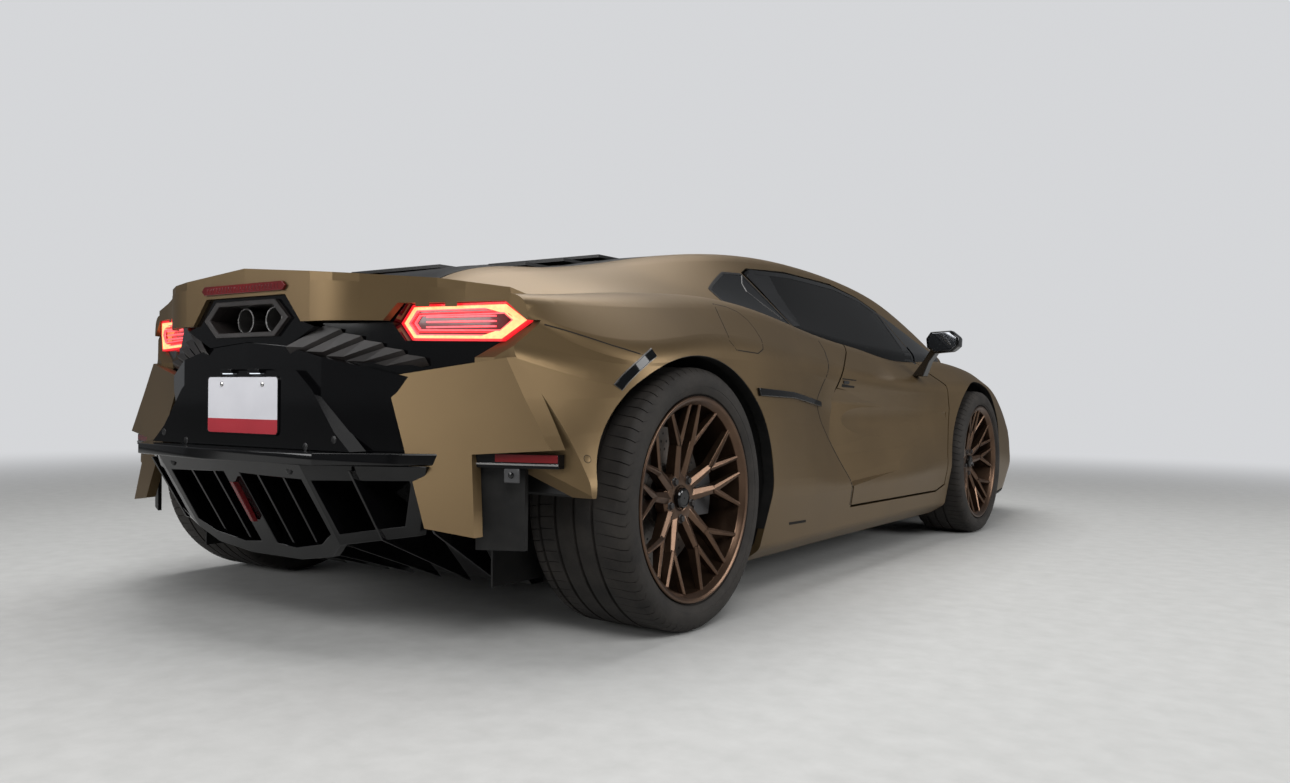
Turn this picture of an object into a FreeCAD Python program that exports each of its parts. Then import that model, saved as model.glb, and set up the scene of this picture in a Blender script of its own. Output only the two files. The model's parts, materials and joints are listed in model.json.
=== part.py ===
"""Mid-engined two-seat supercar, built as its real pieces, in millimetres.

The car stands on its wheels at z = 0 and faces -Y, with +X to its left. The origin is on the
ground, below the middle of its length and width. Body panels are cut from one lofted outer
form, so that neighbours are flush, and each is as thick as its named wall.
"""
import FreeCAD, Part
import math
import os

V = FreeCAD.Vector

# Overall size
length = 4706.0
width = 1996.0
height = 1201.0
wheelbase = 2658.0
rear_overhang = 850.0

# Wheels
front_track = 1722.0
rear_track = 1670.0
front_tyre_width = 255.0
front_tyre_radius = 342.0
front_rim_radius = 254.0
rear_tyre_width = 325.0
rear_tyre_radius = 362.0
rear_rim_radius = 267.0
rim_lip = 17.0
tyre_shoulder = 38.0
disc_thickness = 34.0
front_disc_radius = 205.0
rear_disc_radius = 195.0

# Walls and gaps
skin = 22.0
glass = 6.0
grille_thickness = 20.0
panel_gap = 6.0
pin_clearance = 0.05
plate_screw = 3.5
floor_z = 118.0
floor_thickness = 26.0

# Arches: half lengths and heights of the openings
front_arch_half = 392.0
front_arch_rise = 388.0
rear_arch_half = 445.0
rear_arch_rise = 393.0
front_well_inner = 520.0
rear_well_inner = 640.0
liner = 6.0

half_length = length / 2
half_width = width / 2
nose = -half_length
tail = half_length
rear_axle = tail - rear_overhang
front_axle = rear_axle - wheelbase
door_middle = (front_axle + rear_axle) / 2 - 174.0
ANCHOR = {"nose": nose, "front": front_axle, "door": door_middle, "rear": rear_axle, "tail": tail}

# Main form. Each row is one cross-section, half of it, from the middle of the top to the sill:
# anchor, y from it, crown height, deck corner, crest, shoulder, hip, waist, lower ridge, sill.
# Corners are (inset from half the width, height, setback of the rounding).
BODY_SECTIONS = [
    ("nose", 0, 452,
     (700, 448, 60), (480, 432, 30), (362, 392, 22), (340, 360, 12),
     (330, 330, 20), (338, 240, 20), (388, 128, 15)),
    ("nose", 190, 566,
     (590, 562, 70), (310, 562, 55), (190, 490, 45), (168, 448, 20),
     (155, 405, 40), (150, 280, 30), (190, 128, 15)),
    ("front", -600, 692,
     (470, 688, 70), (200, 722, 75), (88, 610, 60), (75, 550, 25),
     (66, 490, 50), (62, 330, 30), (110, 130, 15)),
    ("front", -290, 758,
     (430, 744, 70), (190, 806, 80), (46, 692, 70), (35, 622, 30),
     (26, 555, 50), (22, 350, 30), (74, 140, 15)),
    ("front", 0, 798,
     (405, 780, 70), (182, 836, 85), (32, 716, 70), (20, 640, 30),
     (14, 560, 50), (13, 350, 30), (66, 150, 15)),
    ("front", 330, 832,
     (380, 815, 60), (180, 836, 70), (46, 706, 50), (42, 640, 25),
     (38, 560, 45), (30, 350, 30), (66, 160, 15)),
    ("door", -500, 840,
     (360, 830, 50), (172, 816, 45), (60, 700, 40), (66, 636, 25),
     (72, 560, 50), (32, 340, 25), (68, 165, 15)),
    ("door", 0, 850,
     (350, 848, 50), (172, 850, 45), (64, 712, 35), (84, 640, 25),
     (104, 560, 60), (30, 332, 25), (68, 165, 15)),
    ("door", 470, 890,
     (345, 888, 50), (166, 888, 45), (62, 742, 40), (80, 660, 25),
     (96, 575, 60), (24, 340, 25), (66, 165, 15)),
    ("rear", -690, 930,
     (350, 925, 60), (166, 936, 60), (42, 770, 60), (38, 690, 30),
     (34, 600, 50), (14, 350, 30), (60, 165, 15)),
    ("rear", -300, 945,
     (370, 930, 70), (182, 968, 85), (16, 792, 80), (9, 700, 30),
     (4, 600, 50), (4, 360, 30), (58, 170, 15)),
    ("rear", 0, 940,
     (400, 918, 80), (182, 948, 85), (10, 785, 70), (3, 700, 30),
     (0, 600, 50), (0, 380, 30), (58, 190, 15)),
    ("rear", 260, 930,
     (400, 905, 80), (188, 915, 55), (42, 762, 36), (30, 690, 30),
     (16, 600, 50), (6, 400, 30), (60, 200, 15)),
    ("tail", -360, 925,
     (380, 902, 70), (206, 889, 28), (178, 822, 12), (206, 742, 25),
     (120, 590, 50), (32, 420, 30), (70, 210, 15)),
    ("tail", -100, 940,
     (380, 915, 60), (246, 880, 25), (236, 815, 12), (268, 735, 25),
     (215, 590, 40), (150, 400, 30), (180, 220, 15)),
]

# Cabin form: anchor, y from it, crown height below the roof, roof rail, belt corner.
CABIN_SECTIONS = [
    ("front", -220, 345, (430, 362, 60), (330, 400, 20)),
    ("front", -60, 262, (330, 292, 50), (236, 372, 20)),
    ("front", 180, 158, (364, 176, 45), (190, 362, 20)),
    ("front", 440, 70, (392, 92, 45), (176, 362, 20)),
    ("front", 760, 12, (424, 36, 45), (170, 360, 20)),
    ("door", 0, 0, (440, 12, 40), (174, 350, 20)),
    ("door", 400, 6, (456, 14, 40), (186, 322, 20)),
    ("door", 760, 38, (500, 44, 45), (206, 290, 20)),
    ("rear", -440, 90, (540, 96, 45), (244, 262, 20)),
    ("rear", 0, 160, (590, 166, 50), (330, 270, 20)),
    ("rear", 420, 268, (620, 272, 50), (380, 300, 20)),
]
cabin_root_z = 640.0


def corner_arc(before, at, after, setback):
    """The two tangent points of a rounded corner and the middle of its arc."""
    a = (before - at).normalize()
    b = (after - at).normalize()
    start = at + a * setback
    end = at + b * setback
    half = math.acos(max(-1.0, min(1.0, a.dot(b)))) / 2
    bisector = (a + b)
    if bisector.Length < 1e-4:
        return start, at, end
    bisector.normalize()
    radius = setback * math.tan(half)
    middle = at + bisector * (setback / math.cos(half) - radius)
    return start, middle, end


def section_wire(y, corners):
    """A closed wire at y: straight runs joined by tangent arcs. Corners are (x, z, setback)."""
    points = [V(x, y, z) for x, z, _ in corners]
    count = len(points)
    arcs = []
    for i in range(count):
        before, at, after = points[i - 1], points[i], points[(i + 1) % count]
        room = min((before - at).Length, (after - at).Length) * 0.45
        arcs.append(corner_arc(before, at, after, min(corners[i][2], room)))
    edges = []
    for i in range(count):
        start, middle, end = arcs[i]
        edges.append(Part.Arc(start, middle, end).toShape())
        edges.append(Part.LineSegment(end, arcs[(i + 1) % count][0]).toShape())
    return Part.Wire(edges)


def inset_corners(corners, wall):
    """Moves a closed section's corners inward by a wall thickness."""
    count = len(corners)
    moved = []
    for i in range(count):
        x, z, setback = corners[i]
        px, pz, _ = corners[i - 1]
        nx, nz, _ = corners[(i + 1) % count]
        a = V(x - px, 0, z - pz).normalize()
        b = V(nx - x, 0, nz - z).normalize()
        normal_a = V(a.z, 0, -a.x)
        normal_b = V(b.z, 0, -b.x)
        bisector = normal_a + normal_b
        bisector.normalize()
        reach = wall / max(0.35, bisector.dot(normal_a))
        moved.append((x + bisector.x * reach, z + bisector.z * reach, setback))
    return moved


def mirrored_ring(half_corners, crown, base):
    """A full closed ring, clockwise seen from -Y: crown, left corners, base, right corners."""
    right = [(-x, z, s) for x, z, s in reversed(half_corners)]
    return [crown] + half_corners + base + right


def body_form(wall=0.0):
    wires = []
    last = len(BODY_SECTIONS) - 1
    for i, row in enumerate(BODY_SECTIONS):
        anchor, dy, crown, *corners = row
        y = ANCHOR[anchor] + dy
        if i == 0:
            y += wall
        if i == last:
            y -= wall
        half = [(half_width - inset, z, s) for inset, z, s in corners]
        sill_x, sill_z, _ = half[-1]
        half.append((sill_x - 70, floor_z, 12))
        ring = mirrored_ring(half, (0, crown, 60), [])
        if wall:
            ring = inset_corners(ring, wall)
        wires.append(section_wire(y, ring))
    return Part.makeLoft(wires, True, False)


def cabin_form(wall=0.0):
    wires = []
    for i, row in enumerate(CABIN_SECTIONS):
        anchor, dy, crown_drop, rail, belt = row
        y = ANCHOR[anchor] + dy
        rail_corner = (half_width - rail[0], height - rail[1] - wall, rail[2])
        belt_corner = (half_width - belt[0] - wall, height - belt[1], belt[2])
        rail_corner = (rail_corner[0] - wall * 0.75, rail_corner[1], rail_corner[2])
        foot = (belt_corner[0], cabin_root_z, 10)
        ring = mirrored_ring([rail_corner, belt_corner, foot], (0, height - crown_drop - wall, 60), [])
        wires.append(section_wire(y, ring))
    return Part.makeLoft(wires, True, False)


def polygon_face(points):
    return Part.Face(Part.makePolygon(list(points) + [points[0]]))


def prism_x(points, x0, x1):
    """A prism along X of (y, z) points."""
    return polygon_face([V(x0, y, z) for y, z in points]).extrude(V(x1 - x0, 0, 0))


def prism_y(points, y0, y1):
    """A prism along Y of (x, z) points."""
    return polygon_face([V(x, y0, z) for x, z in points]).extrude(V(0, y1 - y0, 0))


def prism_z(points, z0, z1):
    """A prism along Z of (x, y) points."""
    return polygon_face([V(x, y, z0) for x, y in points]).extrude(V(0, 0, z1 - z0))


def box(x0, x1, y0, y1, z0, z1):
    return Part.makeBox(x1 - x0, y1 - y0, z1 - z0, V(x0, y0, z0))


def hull_of(lower, upper):
    """A closed solid between two polygons with the same number of corners."""
    count = len(lower)
    faces = [polygon_face(lower), polygon_face(upper)]
    for i in range(count):
        j = (i + 1) % count
        for tri in ((lower[i], lower[j], upper[j]), (lower[i], upper[j], upper[i])):
            faces.append(polygon_face(tri))
    solid = Part.makeSolid(Part.makeShell(faces))
    if solid.Volume < 0:
        solid.reverse()
    return solid


def mirror(shape):
    return shape.mirror(V(0, 0, 0), V(1, 0, 0))


def both(shape):
    return Part.makeCompound([shape, mirror(shape)])


def bar(a, b, radius):
    return Part.makeCylinder(radius, (b - a).Length, a, b - a)


def ellipse_prism(y, z, half, rise, x0, x1, legs):
    """An arch opening along X: the top half of an ellipse over straight legs."""
    flat = Part.Ellipse(V(0, 0, 0), max(half, rise), min(half, rise))
    arc = Part.ArcOfEllipse(flat, 0, math.pi).toShape()
    if half < rise:
        raise ValueError("an arch is longer than it is high")
    arc.rotate(V(0, 0, 0), V(1, 0, 0), 90)
    arc.rotate(V(0, 0, 0), V(0, 0, 1), 90)
    arc.translate(V(x0, y, z))
    ends = [v.Point for v in arc.Vertexes]
    low = [V(p.x, p.y, z - legs) for p in ends]
    edges = [
        arc,
        Part.LineSegment(ends[1], low[1]).toShape(),
        Part.LineSegment(low[1], low[0]).toShape(),
        Part.LineSegment(low[0], ends[0]).toShape(),
    ]
    return Part.Face(Part.Wire(edges)).extrude(V(x1 - x0, 0, 0))


def biggest(shape, count=1):
    solids = sorted(shape.Solids, key=lambda s: -abs(s.Volume))[:count]
    return solids[0] if count == 1 else Part.makeCompound(solids)


def save(name, shape):
    """Writes a node, without slivers under the smallest volume that counts."""
    solids = [s for s in shape.Solids if abs(s.Volume) > sliver_volume]
    out = solids[0] if len(solids) == 1 else Part.makeCompound(solids)
    out.exportStep(f"parts/{name}.step")


sliver_volume = 500.0
os.makedirs("parts", exist_ok=True)

# Plan outline of the tail above the corner panels, left half, from the middle outward
TAIL_PLAN = [(0, tail - 118), (345, tail - 122), (575, tail - 268), (760, tail - 330), (1000, tail - 400)]
tail_rounding = 75.0


def tail_arcs(inward):
    """The rounded corners of the tail's plan, moved forward: start, middle and end of each."""
    points = [V(x, y - inward, 0) for x, y in TAIL_PLAN]
    return [corner_arc(points[i - 1], points[i], points[i + 1], tail_rounding) for i in (1, 2)]


def tail_block(inward):
    """Everything behind the tail's plan outline, on the left."""
    (a, b, c), (d, e, f) = tail_arcs(inward)
    start = V(-1, TAIL_PLAN[0][1] - inward, 0)
    side = V(1200, TAIL_PLAN[-1][1] - inward, 0)
    last = V(TAIL_PLAN[-1][0], TAIL_PLAN[-1][1] - inward, 0)
    knee = V(TAIL_PLAN[3][0], TAIL_PLAN[3][1] - inward, 0)
    back = [V(1200, tail + 300, 0), V(-1, tail + 300, 0)]
    edges = [
        Part.LineSegment(start, a).toShape(),
        Part.Arc(a, b, c).toShape(),
        Part.LineSegment(c, d).toShape(),
        Part.Arc(d, e, f).toShape(),
    ]
    run = [f, knee, last, side] + back + [start]
    edges += [Part.LineSegment(p, q).toShape() for p, q in zip(run, run[1:])]
    return Part.Face(Part.Wire(edges)).extrude(V(0, 0, 1300))


# Door outline in the side view at the outer skin: y, z, and how far the cut leans in y for each
# mm inboard. The rear edge leans so that the door can swing out and up.
door_hinge = V(917, door_middle - 665, 702)
hinge_tilt = 58.0
door_clearance = 9.0
lean = 1.55
DOOR_OUTLINE = [
    (-636, 900, 0.0),
    (-652, 761, 0.0),
    (-735, 703, 0.0),
    (-752, 600, 0.0),
    (-708, 398, 0.0),
    (-700, 262, 0.0),
    (-600, 240, 0.0),
    (366, 252, -0.1),
    (380, 319, -0.1),
    (609, 614, -lean),
    (617, 640, -lean),
    (520, 748, -lean),
    (452, 815, -lean),
    (440, 900, -lean),
]
door_outer_x = half_width + 20
door_inner_x = half_width - 198


def door_prism(grow):
    """The block that cuts a door, or with grow its opening, out of the left side."""
    count = len(DOOR_OUTLINE)
    rows = []
    for i in range(count):
        y, z, _ = DOOR_OUTLINE[i]
        py, pz, _ = DOOR_OUTLINE[i - 1]
        ny, nz, _ = DOOR_OUTLINE[(i + 1) % count]
        a = V(0, y - py, z - pz).normalize()
        b = V(0, ny - y, nz - z).normalize()
        out_a = V(0, -a.z, a.y)
        out_b = V(0, -b.z, b.y)
        out = (out_a + out_b).normalize()
        reach = -grow / max(0.5, out.dot(out_a))
        rows.append((y + out.y * reach, z + out.z * reach))
    outer_ring = []
    inner_ring = []
    inner_x = door_inner_x - grow
    depth = door_outer_x - inner_x
    for (y, z), (_, _, slant) in zip(rows, DOOR_OUTLINE):
        outer_ring.append(V(door_outer_x, door_middle + y, z))
        inner_ring.append(V(inner_x, door_middle + y + slant * depth, z))
    return hull_of(inner_ring, outer_ring)


# Scallop in the door's flank, deepening to the rear: x, z at the front and at the rear end
SCALLOP = [
    ((1100, 620), (1100, 708)),
    ((962, 620), (938, 708)),
    ((952, 606), (900, 690)),
    ((946, 580), (868, 640)),
    ((962, 450), (884, 430)),
    ((985, 384), (930, 322)),
    ((1000, 372), (985, 296)),
    ((1100, 372), (1100, 296)),
]
scallop_front = door_middle - 720
scallop_rear = door_middle + 690
scallop = hull_of(
    [V(front[0], scallop_front, front[1]) for front, _ in SCALLOP],
    [V(rear[0], scallop_rear, rear[1]) for _, rear in SCALLOP])

# Side window outline in the side view: y, z
WINDOW_OUTLINE = [
    (-630, 760), (-630, 820), (-560, 1040), (-420, 1092), (-200, 1128), (200, 1136), (500, 1122), (560, 1100),
    (520, 820), (505, 760),
]
QUARTER_OUTLINE = [(540, 820), (580, 1098), (700, 1090), (905, 1010), (960, 880)]
FRONT_LIGHT = [(-652, 790), (-580, 1035), (-700, 985), (-900, 905), (-1060, 850), (-1040, 790)]
window_gap = 13.0


def side_prism(points, grow=0.0):
    middle_y = sum(p[0] for p in points) / len(points)
    middle_z = sum(p[1] for p in points) / len(points)
    grown = []
    for y, z in points:
        away = V(0, y - middle_y, z - middle_z).normalize()
        grown.append((door_middle + y + away.y * grow, z + away.z * grow))
    return prism_x(grown, 300, far)


# Wheel wells
far = half_width + 60


def well(axle, z, half, rise, inner_x, grow=0.0):
    return ellipse_prism(axle, z, half + grow, rise + grow, inner_x - grow, far, 400)


FRONT_WELL = (front_axle, front_tyre_radius, front_arch_half, front_arch_rise, front_well_inner)
REAR_WELL = (rear_axle, rear_tyre_radius, rear_arch_half, rear_arch_rise, rear_well_inner)
well_clearance = 16.0
clear_front = well(*FRONT_WELL, well_clearance)
clear_rear = well(*REAR_WELL, well_clearance)
front_well = well(*FRONT_WELL)
rear_well = well(*REAR_WELL)

outer = body_form()
inner = body_form(skin)
cabin = cabin_form()
cabin_inner = cabin_form(skin)
cabin_glass = cabin_form(glass)

# The tail is cut to its plan outline
full_form = outer
outer = outer.cut(both(tail_block(0)))
inner = inner.cut(both(tail_block(skin)))

door_block = door_prism(0.0)
door_opening = door_prism(door_clearance)


def zone(y0, y1, x0=0.0):
    return box(x0, far, y0, y1, 0, 1300)


under_half = 840.0
bumper_seam = front_axle - front_arch_half - 14
under_block = box(-1, under_half, nose - 10, tail + 10, 0, floor_z + 34)
under_block = under_block.fuse(box(-1, far, nose - 10, bumper_seam, 0, floor_z + 34))


def skin_of(region, cuts):
    """The body's skin inside a region, on the left, less the cuts."""
    part = left_skin.common(region)
    for tool in cuts:
        part = part.cut(tool)
    return part


left_half = box(0, far, nose - 10, tail + 10, 0, 1300)
left_outer = outer.common(left_half)
left_inner = inner.common(left_half)
left_skin = left_outer.cut(left_inner).cut(cabin_inner).cut(under_block)

# Seams in plan: bonnet, engine cover
bonnet_front = nose + 170
bonnet_rear = front_axle - 175
bonnet_half_front = 470
bonnet_half_rear = 600


def bonnet_prism(grow):
    return prism_z([
        (0, bonnet_front - grow),
        (bonnet_half_front + grow, bonnet_front - grow),
        (bonnet_half_rear + grow, bonnet_front + 560),
        (bonnet_half_rear + grow, bonnet_rear + grow),
        (0, bonnet_rear + grow),
    ], 380, 1000)


cover_front = door_middle + 700
cover_rear = rear_axle + 392
cover_half = 430
cover_half_rear = 350


def cover_prism(grow):
    """The engine cover's block in plan, or with grow its opening."""
    return prism_z([
        (0, cover_front - grow * 2.4),
        (cover_half + grow, cover_front - grow * 2.4),
        (cover_half_rear + grow, cover_rear + grow),
        (0, cover_rear + grow),
    ], 700, 1300)


cover_block = cover_prism(0)
cover_opening = cover_prism(panel_gap)


def whole(left):
    return left.fuse(mirror(left)).removeSplitter()


# The tail's openings: everything below the band, the lamps, the exhaust
FLANK_END = [(tail - 370, 825), (tail - 317, 734), (tail - 322, 513), (tail - 395, 396), (tail - 418, 396)]
LAMP = [(457, 821), (490, 869), (748, 872), (801, 825), (737, 772), (490, 776)]
rear_opening = prism_x(FLANK_END + [(tail - 418, -10), (tail + 40, -10), (tail + 40, 825)], -1, far)
lamp_block = prism_y(LAMP, tail - 460, tail + 10)
exhaust_notch = prism_y([(-1, 820), (240, 820), (172, 898), (-1, 898)], tail - 460, tail + 10)

# Front openings: side intakes, centre intake, lamps
SIDE_INTAKE = [(452, 200), (476, 330), (600, 352), (842, 412), (884, 330), (830, 200)]
CENTRE_INTAKE = [(-1, 180), (400, 180), (372, 262), (-1, 262)]
HEADLAMP = [(548, 512), (600, 560), (742, 606), (812, 600), (838, 560), (700, 520)]
side_intake = prism_y(SIDE_INTAKE, nose - 20, nose + 420)
centre_intake = prism_y(CENTRE_INTAKE, nose - 20, nose + 300)
headlamp_block = prism_y(HEADLAMP, nose - 20, nose + 620)
bonnet_opening = bonnet_prism(panel_gap)
bumper_cuts = [bonnet_opening, side_intake, centre_intake, headlamp_block]
bumper = skin_of(zone(nose - 10, bumper_seam), bumper_cuts)
save("front_bumper", whole(bumper))
fender_rear = door_middle - 480
fender = skin_of(zone(bumper_seam, fender_rear), [bonnet_opening, front_well, door_opening])
save("front_fenders", both(fender))
quarter_cuts = [cover_opening, rear_well, door_opening, rear_opening, lamp_block, exhaust_notch]
quarter = skin_of(zone(fender_rear, tail + 10), quarter_cuts)
save("quarter_panels", both(quarter))
bonnet = left_outer.common(bonnet_prism(0)).cut(left_inner).cut(cabin)


def lug(x, y, z, top, wide=24.0):
    """A plate lug round a cross pin, up to a panel above it."""
    body = Part.makeCylinder(15, wide, V(x - wide / 2, y, z), V(1, 0, 0))
    return body.fuse(box(x - wide / 2, x + wide / 2, y - 12, y + 12, z, top))


def pin_bracket(x, y, z, low, reach):
    """A cross pin on a post beside the lug, standing on the frame at height low."""
    post = box(x + 18, x + 30, y - 9, y + 9, low, z + 8)
    foot = box(x - 20, x + 30, y - 14, y + reach, low - 12, low)
    pin = Part.makeCylinder(lid_pin, 40, V(x - 14, y, z), V(1, 0, 0))
    return post.fuse(foot).fuse(pin)


lid_pin = 6.0
lug_rise = 120.0


def lid_pin_hole(pin):
    """The hole in a lid's lugs for its cross pin."""
    return Part.makeCylinder(lid_pin + pin_clearance, 60, V(pin.x - 30, pin.y, pin.z), V(1, 0, 0))


bonnet_pin = V(380, bonnet_rear - 36, 718)
lug_left = lug(bonnet_pin.x, bonnet_pin.y, bonnet_pin.z, bonnet_pin.z + lug_rise)
lug_left = lug_left.cut(box(0, far, nose, 0, 300, 1000).cut(inner))
bonnet = bonnet.fuse(lug_left).cut(lid_pin_hole(bonnet_pin))
save("bonnet", whole(bonnet))

# Doors, each on a tilted pin behind its front edge. The pin is held by an eye on an arm from the
# tub, and the door has a pocket in which the arm swings.
tilt = math.radians(hinge_tilt)
hinge_axis = V(math.cos(tilt), 0, -math.sin(tilt))
hinge_out = V(math.sin(tilt), 0, math.cos(tilt))
door_pin = 6.0
door_pin_half = 28.0
eye_radius = 12.0
eye_half = 8.0
arm_reach = 172.0
arm_root = 15.0
hinge_post_face = 774.0
pocket_gap = 5.0
door_swing = math.radians(62)


def hinge_point(out, y, along):
    """A place by its distance outward, rearward and along the door's hinge."""
    return door_hinge + hinge_out * out + V(0, y, 0) + hinge_axis * along


def hinge_rod(radius, half):
    return Part.makeCylinder(radius, half * 2, hinge_point(0, 0, -half), hinge_axis)


def hinge_prism(points, half):
    """A prism of (outward, rearward) points, centred along the hinge."""
    face = polygon_face([hinge_point(out, y, -half) for out, y in points])
    return face.extrude(hinge_axis * (half * 2))


side_gap = eye_half + pocket_gap
swung = V(-math.cos(door_swing), -math.sin(door_swing), 0)
beside = V(math.sin(door_swing), -math.cos(door_swing), 0) * side_gap
pocket_outline = [
    (0, side_gap),
    (-arm_reach - 60, side_gap),
    (-arm_reach - 60, -arm_reach - 60),
    (swung.x * (arm_reach + 30) + beside.x, swung.y * (arm_reach + 30) + beside.y),
    (beside.x, beside.y),
]
pocket = hinge_prism(pocket_outline, side_gap).fuse(hinge_rod(eye_radius + pocket_gap, side_gap))
door_left = outer.common(door_block).cut(cabin_inner).cut(scallop).cut(pocket)
door_left = biggest(door_left.cut(hinge_rod(door_pin + pin_clearance, door_pin_half + 1)))
save("door_left", door_left)
save("door_right", mirror(door_left))

# Cabin: glass and roof
shell = cabin.common(left_half).cut(cabin_inner).cut(outer)
pane = cabin.common(left_half).cut(cabin_glass).cut(outer)
screen_zone = prism_z([
    (-1, front_axle - 300),
    (560, front_axle - 260),
    (600, front_axle - 120),
    (540, front_axle + 560),
    (480, front_axle + 650),
    (-1, front_axle + 700),
], 700, 1300)
window = side_prism(WINDOW_OUTLINE)
window_opening = side_prism(WINDOW_OUTLINE, window_gap)
quarter_light = side_prism(QUARTER_OUTLINE)
front_light = side_prism(FRONT_LIGHT)
roof = shell
for tool in (screen_zone, window_opening, quarter_light, front_light, cover_opening, door_opening):
    roof = roof.cut(tool)
save("roof_frame", whole(roof))
save("windscreen", whole(pane.common(screen_zone)))
glass_left = pane.common(window)
save("door_glass_left", glass_left)
save("door_glass_right", mirror(glass_left))
lights = pane.common(quarter_light.fuse(front_light)).cut(window_opening).cut(door_opening)
save("side_lights", both(lights))
lid = cabin.common(cover_block).cut(cabin_inner)


def cabin_top(x, y):
    """The height of the cabin form above a place in plan."""
    line = Part.LineSegment(V(x, y, 700), V(x, y, 1300)).toShape()
    return cabin.common(line).BoundBox.ZMax


# Slats over the engine: a slot each side of the spine, roofed by a level plate from its front edge
slat_count = 5
slat_thickness = 10.0
slat_first = cover_front + 190
slat_pitch = (cover_rear - 120 - slat_first) / slat_count
slot_half = 250.0
spine_half = 40.0
for i in range(slat_count):
    y = slat_first + slat_pitch * i
    narrow = 16.0 * i
    slot = box(spine_half, slot_half - narrow, y, y + slat_pitch * 0.7, 700, 1300)
    top = cabin_top(spine_half, y)
    level = box(0, slot_half - narrow + 12, y - 26, y + slat_pitch * 0.62, top - slat_thickness, top)
    riser = box(0, slot_half - narrow + 12, y - 26, y - 8, top - skin, top)
    lid = lid.cut(slot).fuse(level).fuse(riser)
cover_pin = V(300, cover_front + 80, 1118)
lug_cover = lug(cover_pin.x, cover_pin.y, cover_pin.z, cover_pin.z + lug_rise).common(cabin_inner)
lid = lid.fuse(lug_cover).cut(lid_pin_hole(cover_pin))
save("engine_cover", whole(lid))

# Tub: floor, sills, bulkheads, hinge posts
under = outer.common(under_block).cut(clear_front).cut(clear_rear)
splitter_seam = bumper_seam
diffuser_seam = rear_axle + 180
floor = under.common(box(-1, far, splitter_seam, diffuser_seam, 0, floor_z + floor_thickness))
tub = floor
base = floor_z + floor_thickness
structure = [
    box(0, 700, door_middle - 742, door_middle - 717, base - 2, 700),
    box(0, 640, door_middle + 640, door_middle + 665, base - 2, 900),
    box(640, 790, door_middle + 640, door_middle + 665, base - 2, 720),
    box(660, 770, door_middle - 717, door_middle + 640, base - 2, 290),
    box(0, 130, door_middle - 640, door_middle + 640, base - 2, 380),
    box(0, 500, splitter_seam, door_middle - 742, base - 2, base + 30),
    box(400, 480, splitter_seam, door_middle - 742, base - 2, 600),
    box(350, 480, bonnet_pin.y - 20, door_middle - 742, 560, 590),
    box(0, 620, door_middle + 665, diffuser_seam, base - 2, base + 30),
    box(560, 620, door_middle + 665, diffuser_seam, base - 2, 420),
    box(715, hinge_post_face, door_hinge.y - 30, door_hinge.y + 30, 280, 650),
]
for piece in structure:
    tub = tub.fuse(piece)
tub = tub.cut(clear_front).cut(clear_rear)
arm_end = -arm_reach - arm_root
arm_outline = [(0, eye_half), (arm_end, eye_half), (arm_end, -eye_half), (0, -eye_half)]
hinge_arm = hinge_prism(arm_outline, eye_half)
tub = tub.fuse(hinge_rod(door_pin, door_pin_half)).fuse(hinge_rod(eye_radius, eye_half)).fuse(hinge_arm)
tub = tub.fuse(pin_bracket(bonnet_pin.x, bonnet_pin.y, bonnet_pin.z, 590, 40))
tub = tub.fuse(pin_bracket(cover_pin.x, cover_pin.y, cover_pin.z, 900, 40))
tub = tub.fuse(box(cover_pin.x - 20, cover_pin.x + 30, door_middle + 640, cover_pin.y + 40, 860, 900))
save("chassis_tub", whole(tub))

# Wheel liners
liners = []
for (axle, radius, half, rise, inner_x), grown in ((FRONT_WELL, clear_front), (REAR_WELL, clear_rear)):
    hollow = grown.cut(box(-far, far, nose, tail, -100, base))
    thin = hollow.common(inner).cut(well(axle, radius, half, rise, inner_x, well_clearance - liner))
    liners.append(biggest(thin))
liners[1] = liners[1].cut(rear_opening)

# Wheels
def tyre(centre, wide, radius, rim_radius):
    half = wide / 2
    corners = [
        (-half + 12, rim_radius, 2),
        (-half, rim_radius + (radius - rim_radius) * 0.5, 24),
        (-half + 5, radius, tyre_shoulder * 0.6),
        (half - 5, radius, tyre_shoulder * 0.6),
        (half, rim_radius + (radius - rim_radius) * 0.5, 24),
        (half - 12, rim_radius, 2),
    ]
    face = Part.Face(section_wire(0, corners))
    ring = face.revolve(V(0, 0, 0), V(1, 0, 0), 360)
    lips = Part.makeCylinder(rim_radius + rim_lip + 0.5, 60, V(half - 26.3, 0, 0), V(1, 0, 0))
    lips = lips.fuse(Part.makeCylinder(rim_radius + rim_lip + 0.5, 60, V(-half - 33.7, 0, 0), V(1, 0, 0)))
    ring = ring.cut(lips)
    ring.translate(centre)
    return ring


def spoke(r0, a0, r1, a1, x0, x1, wide0, wide1, deep0, deep1):
    """A tapering spoke from (radius, angle) to (radius, angle), its face at x0 and then x1."""
    def ring(radius, angle, x, wide, deep):
        t = math.radians(angle)
        along = V(0, math.sin(t), math.cos(t))
        across = V(0, math.cos(t), -math.sin(t))
        mid = along * radius
        return [
            mid + across * (-wide / 2) + V(x, 0, 0),
            mid + across * (wide / 2) + V(x, 0, 0),
            mid + across * (wide / 2) + V(x - deep, 0, 0),
            mid + across * (-wide / 2) + V(x - deep, 0, 0),
        ]
    return hull_of(ring(r0, a0, x0, wide0, deep0), ring(r1, a1, x1, wide1, deep1))


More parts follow.
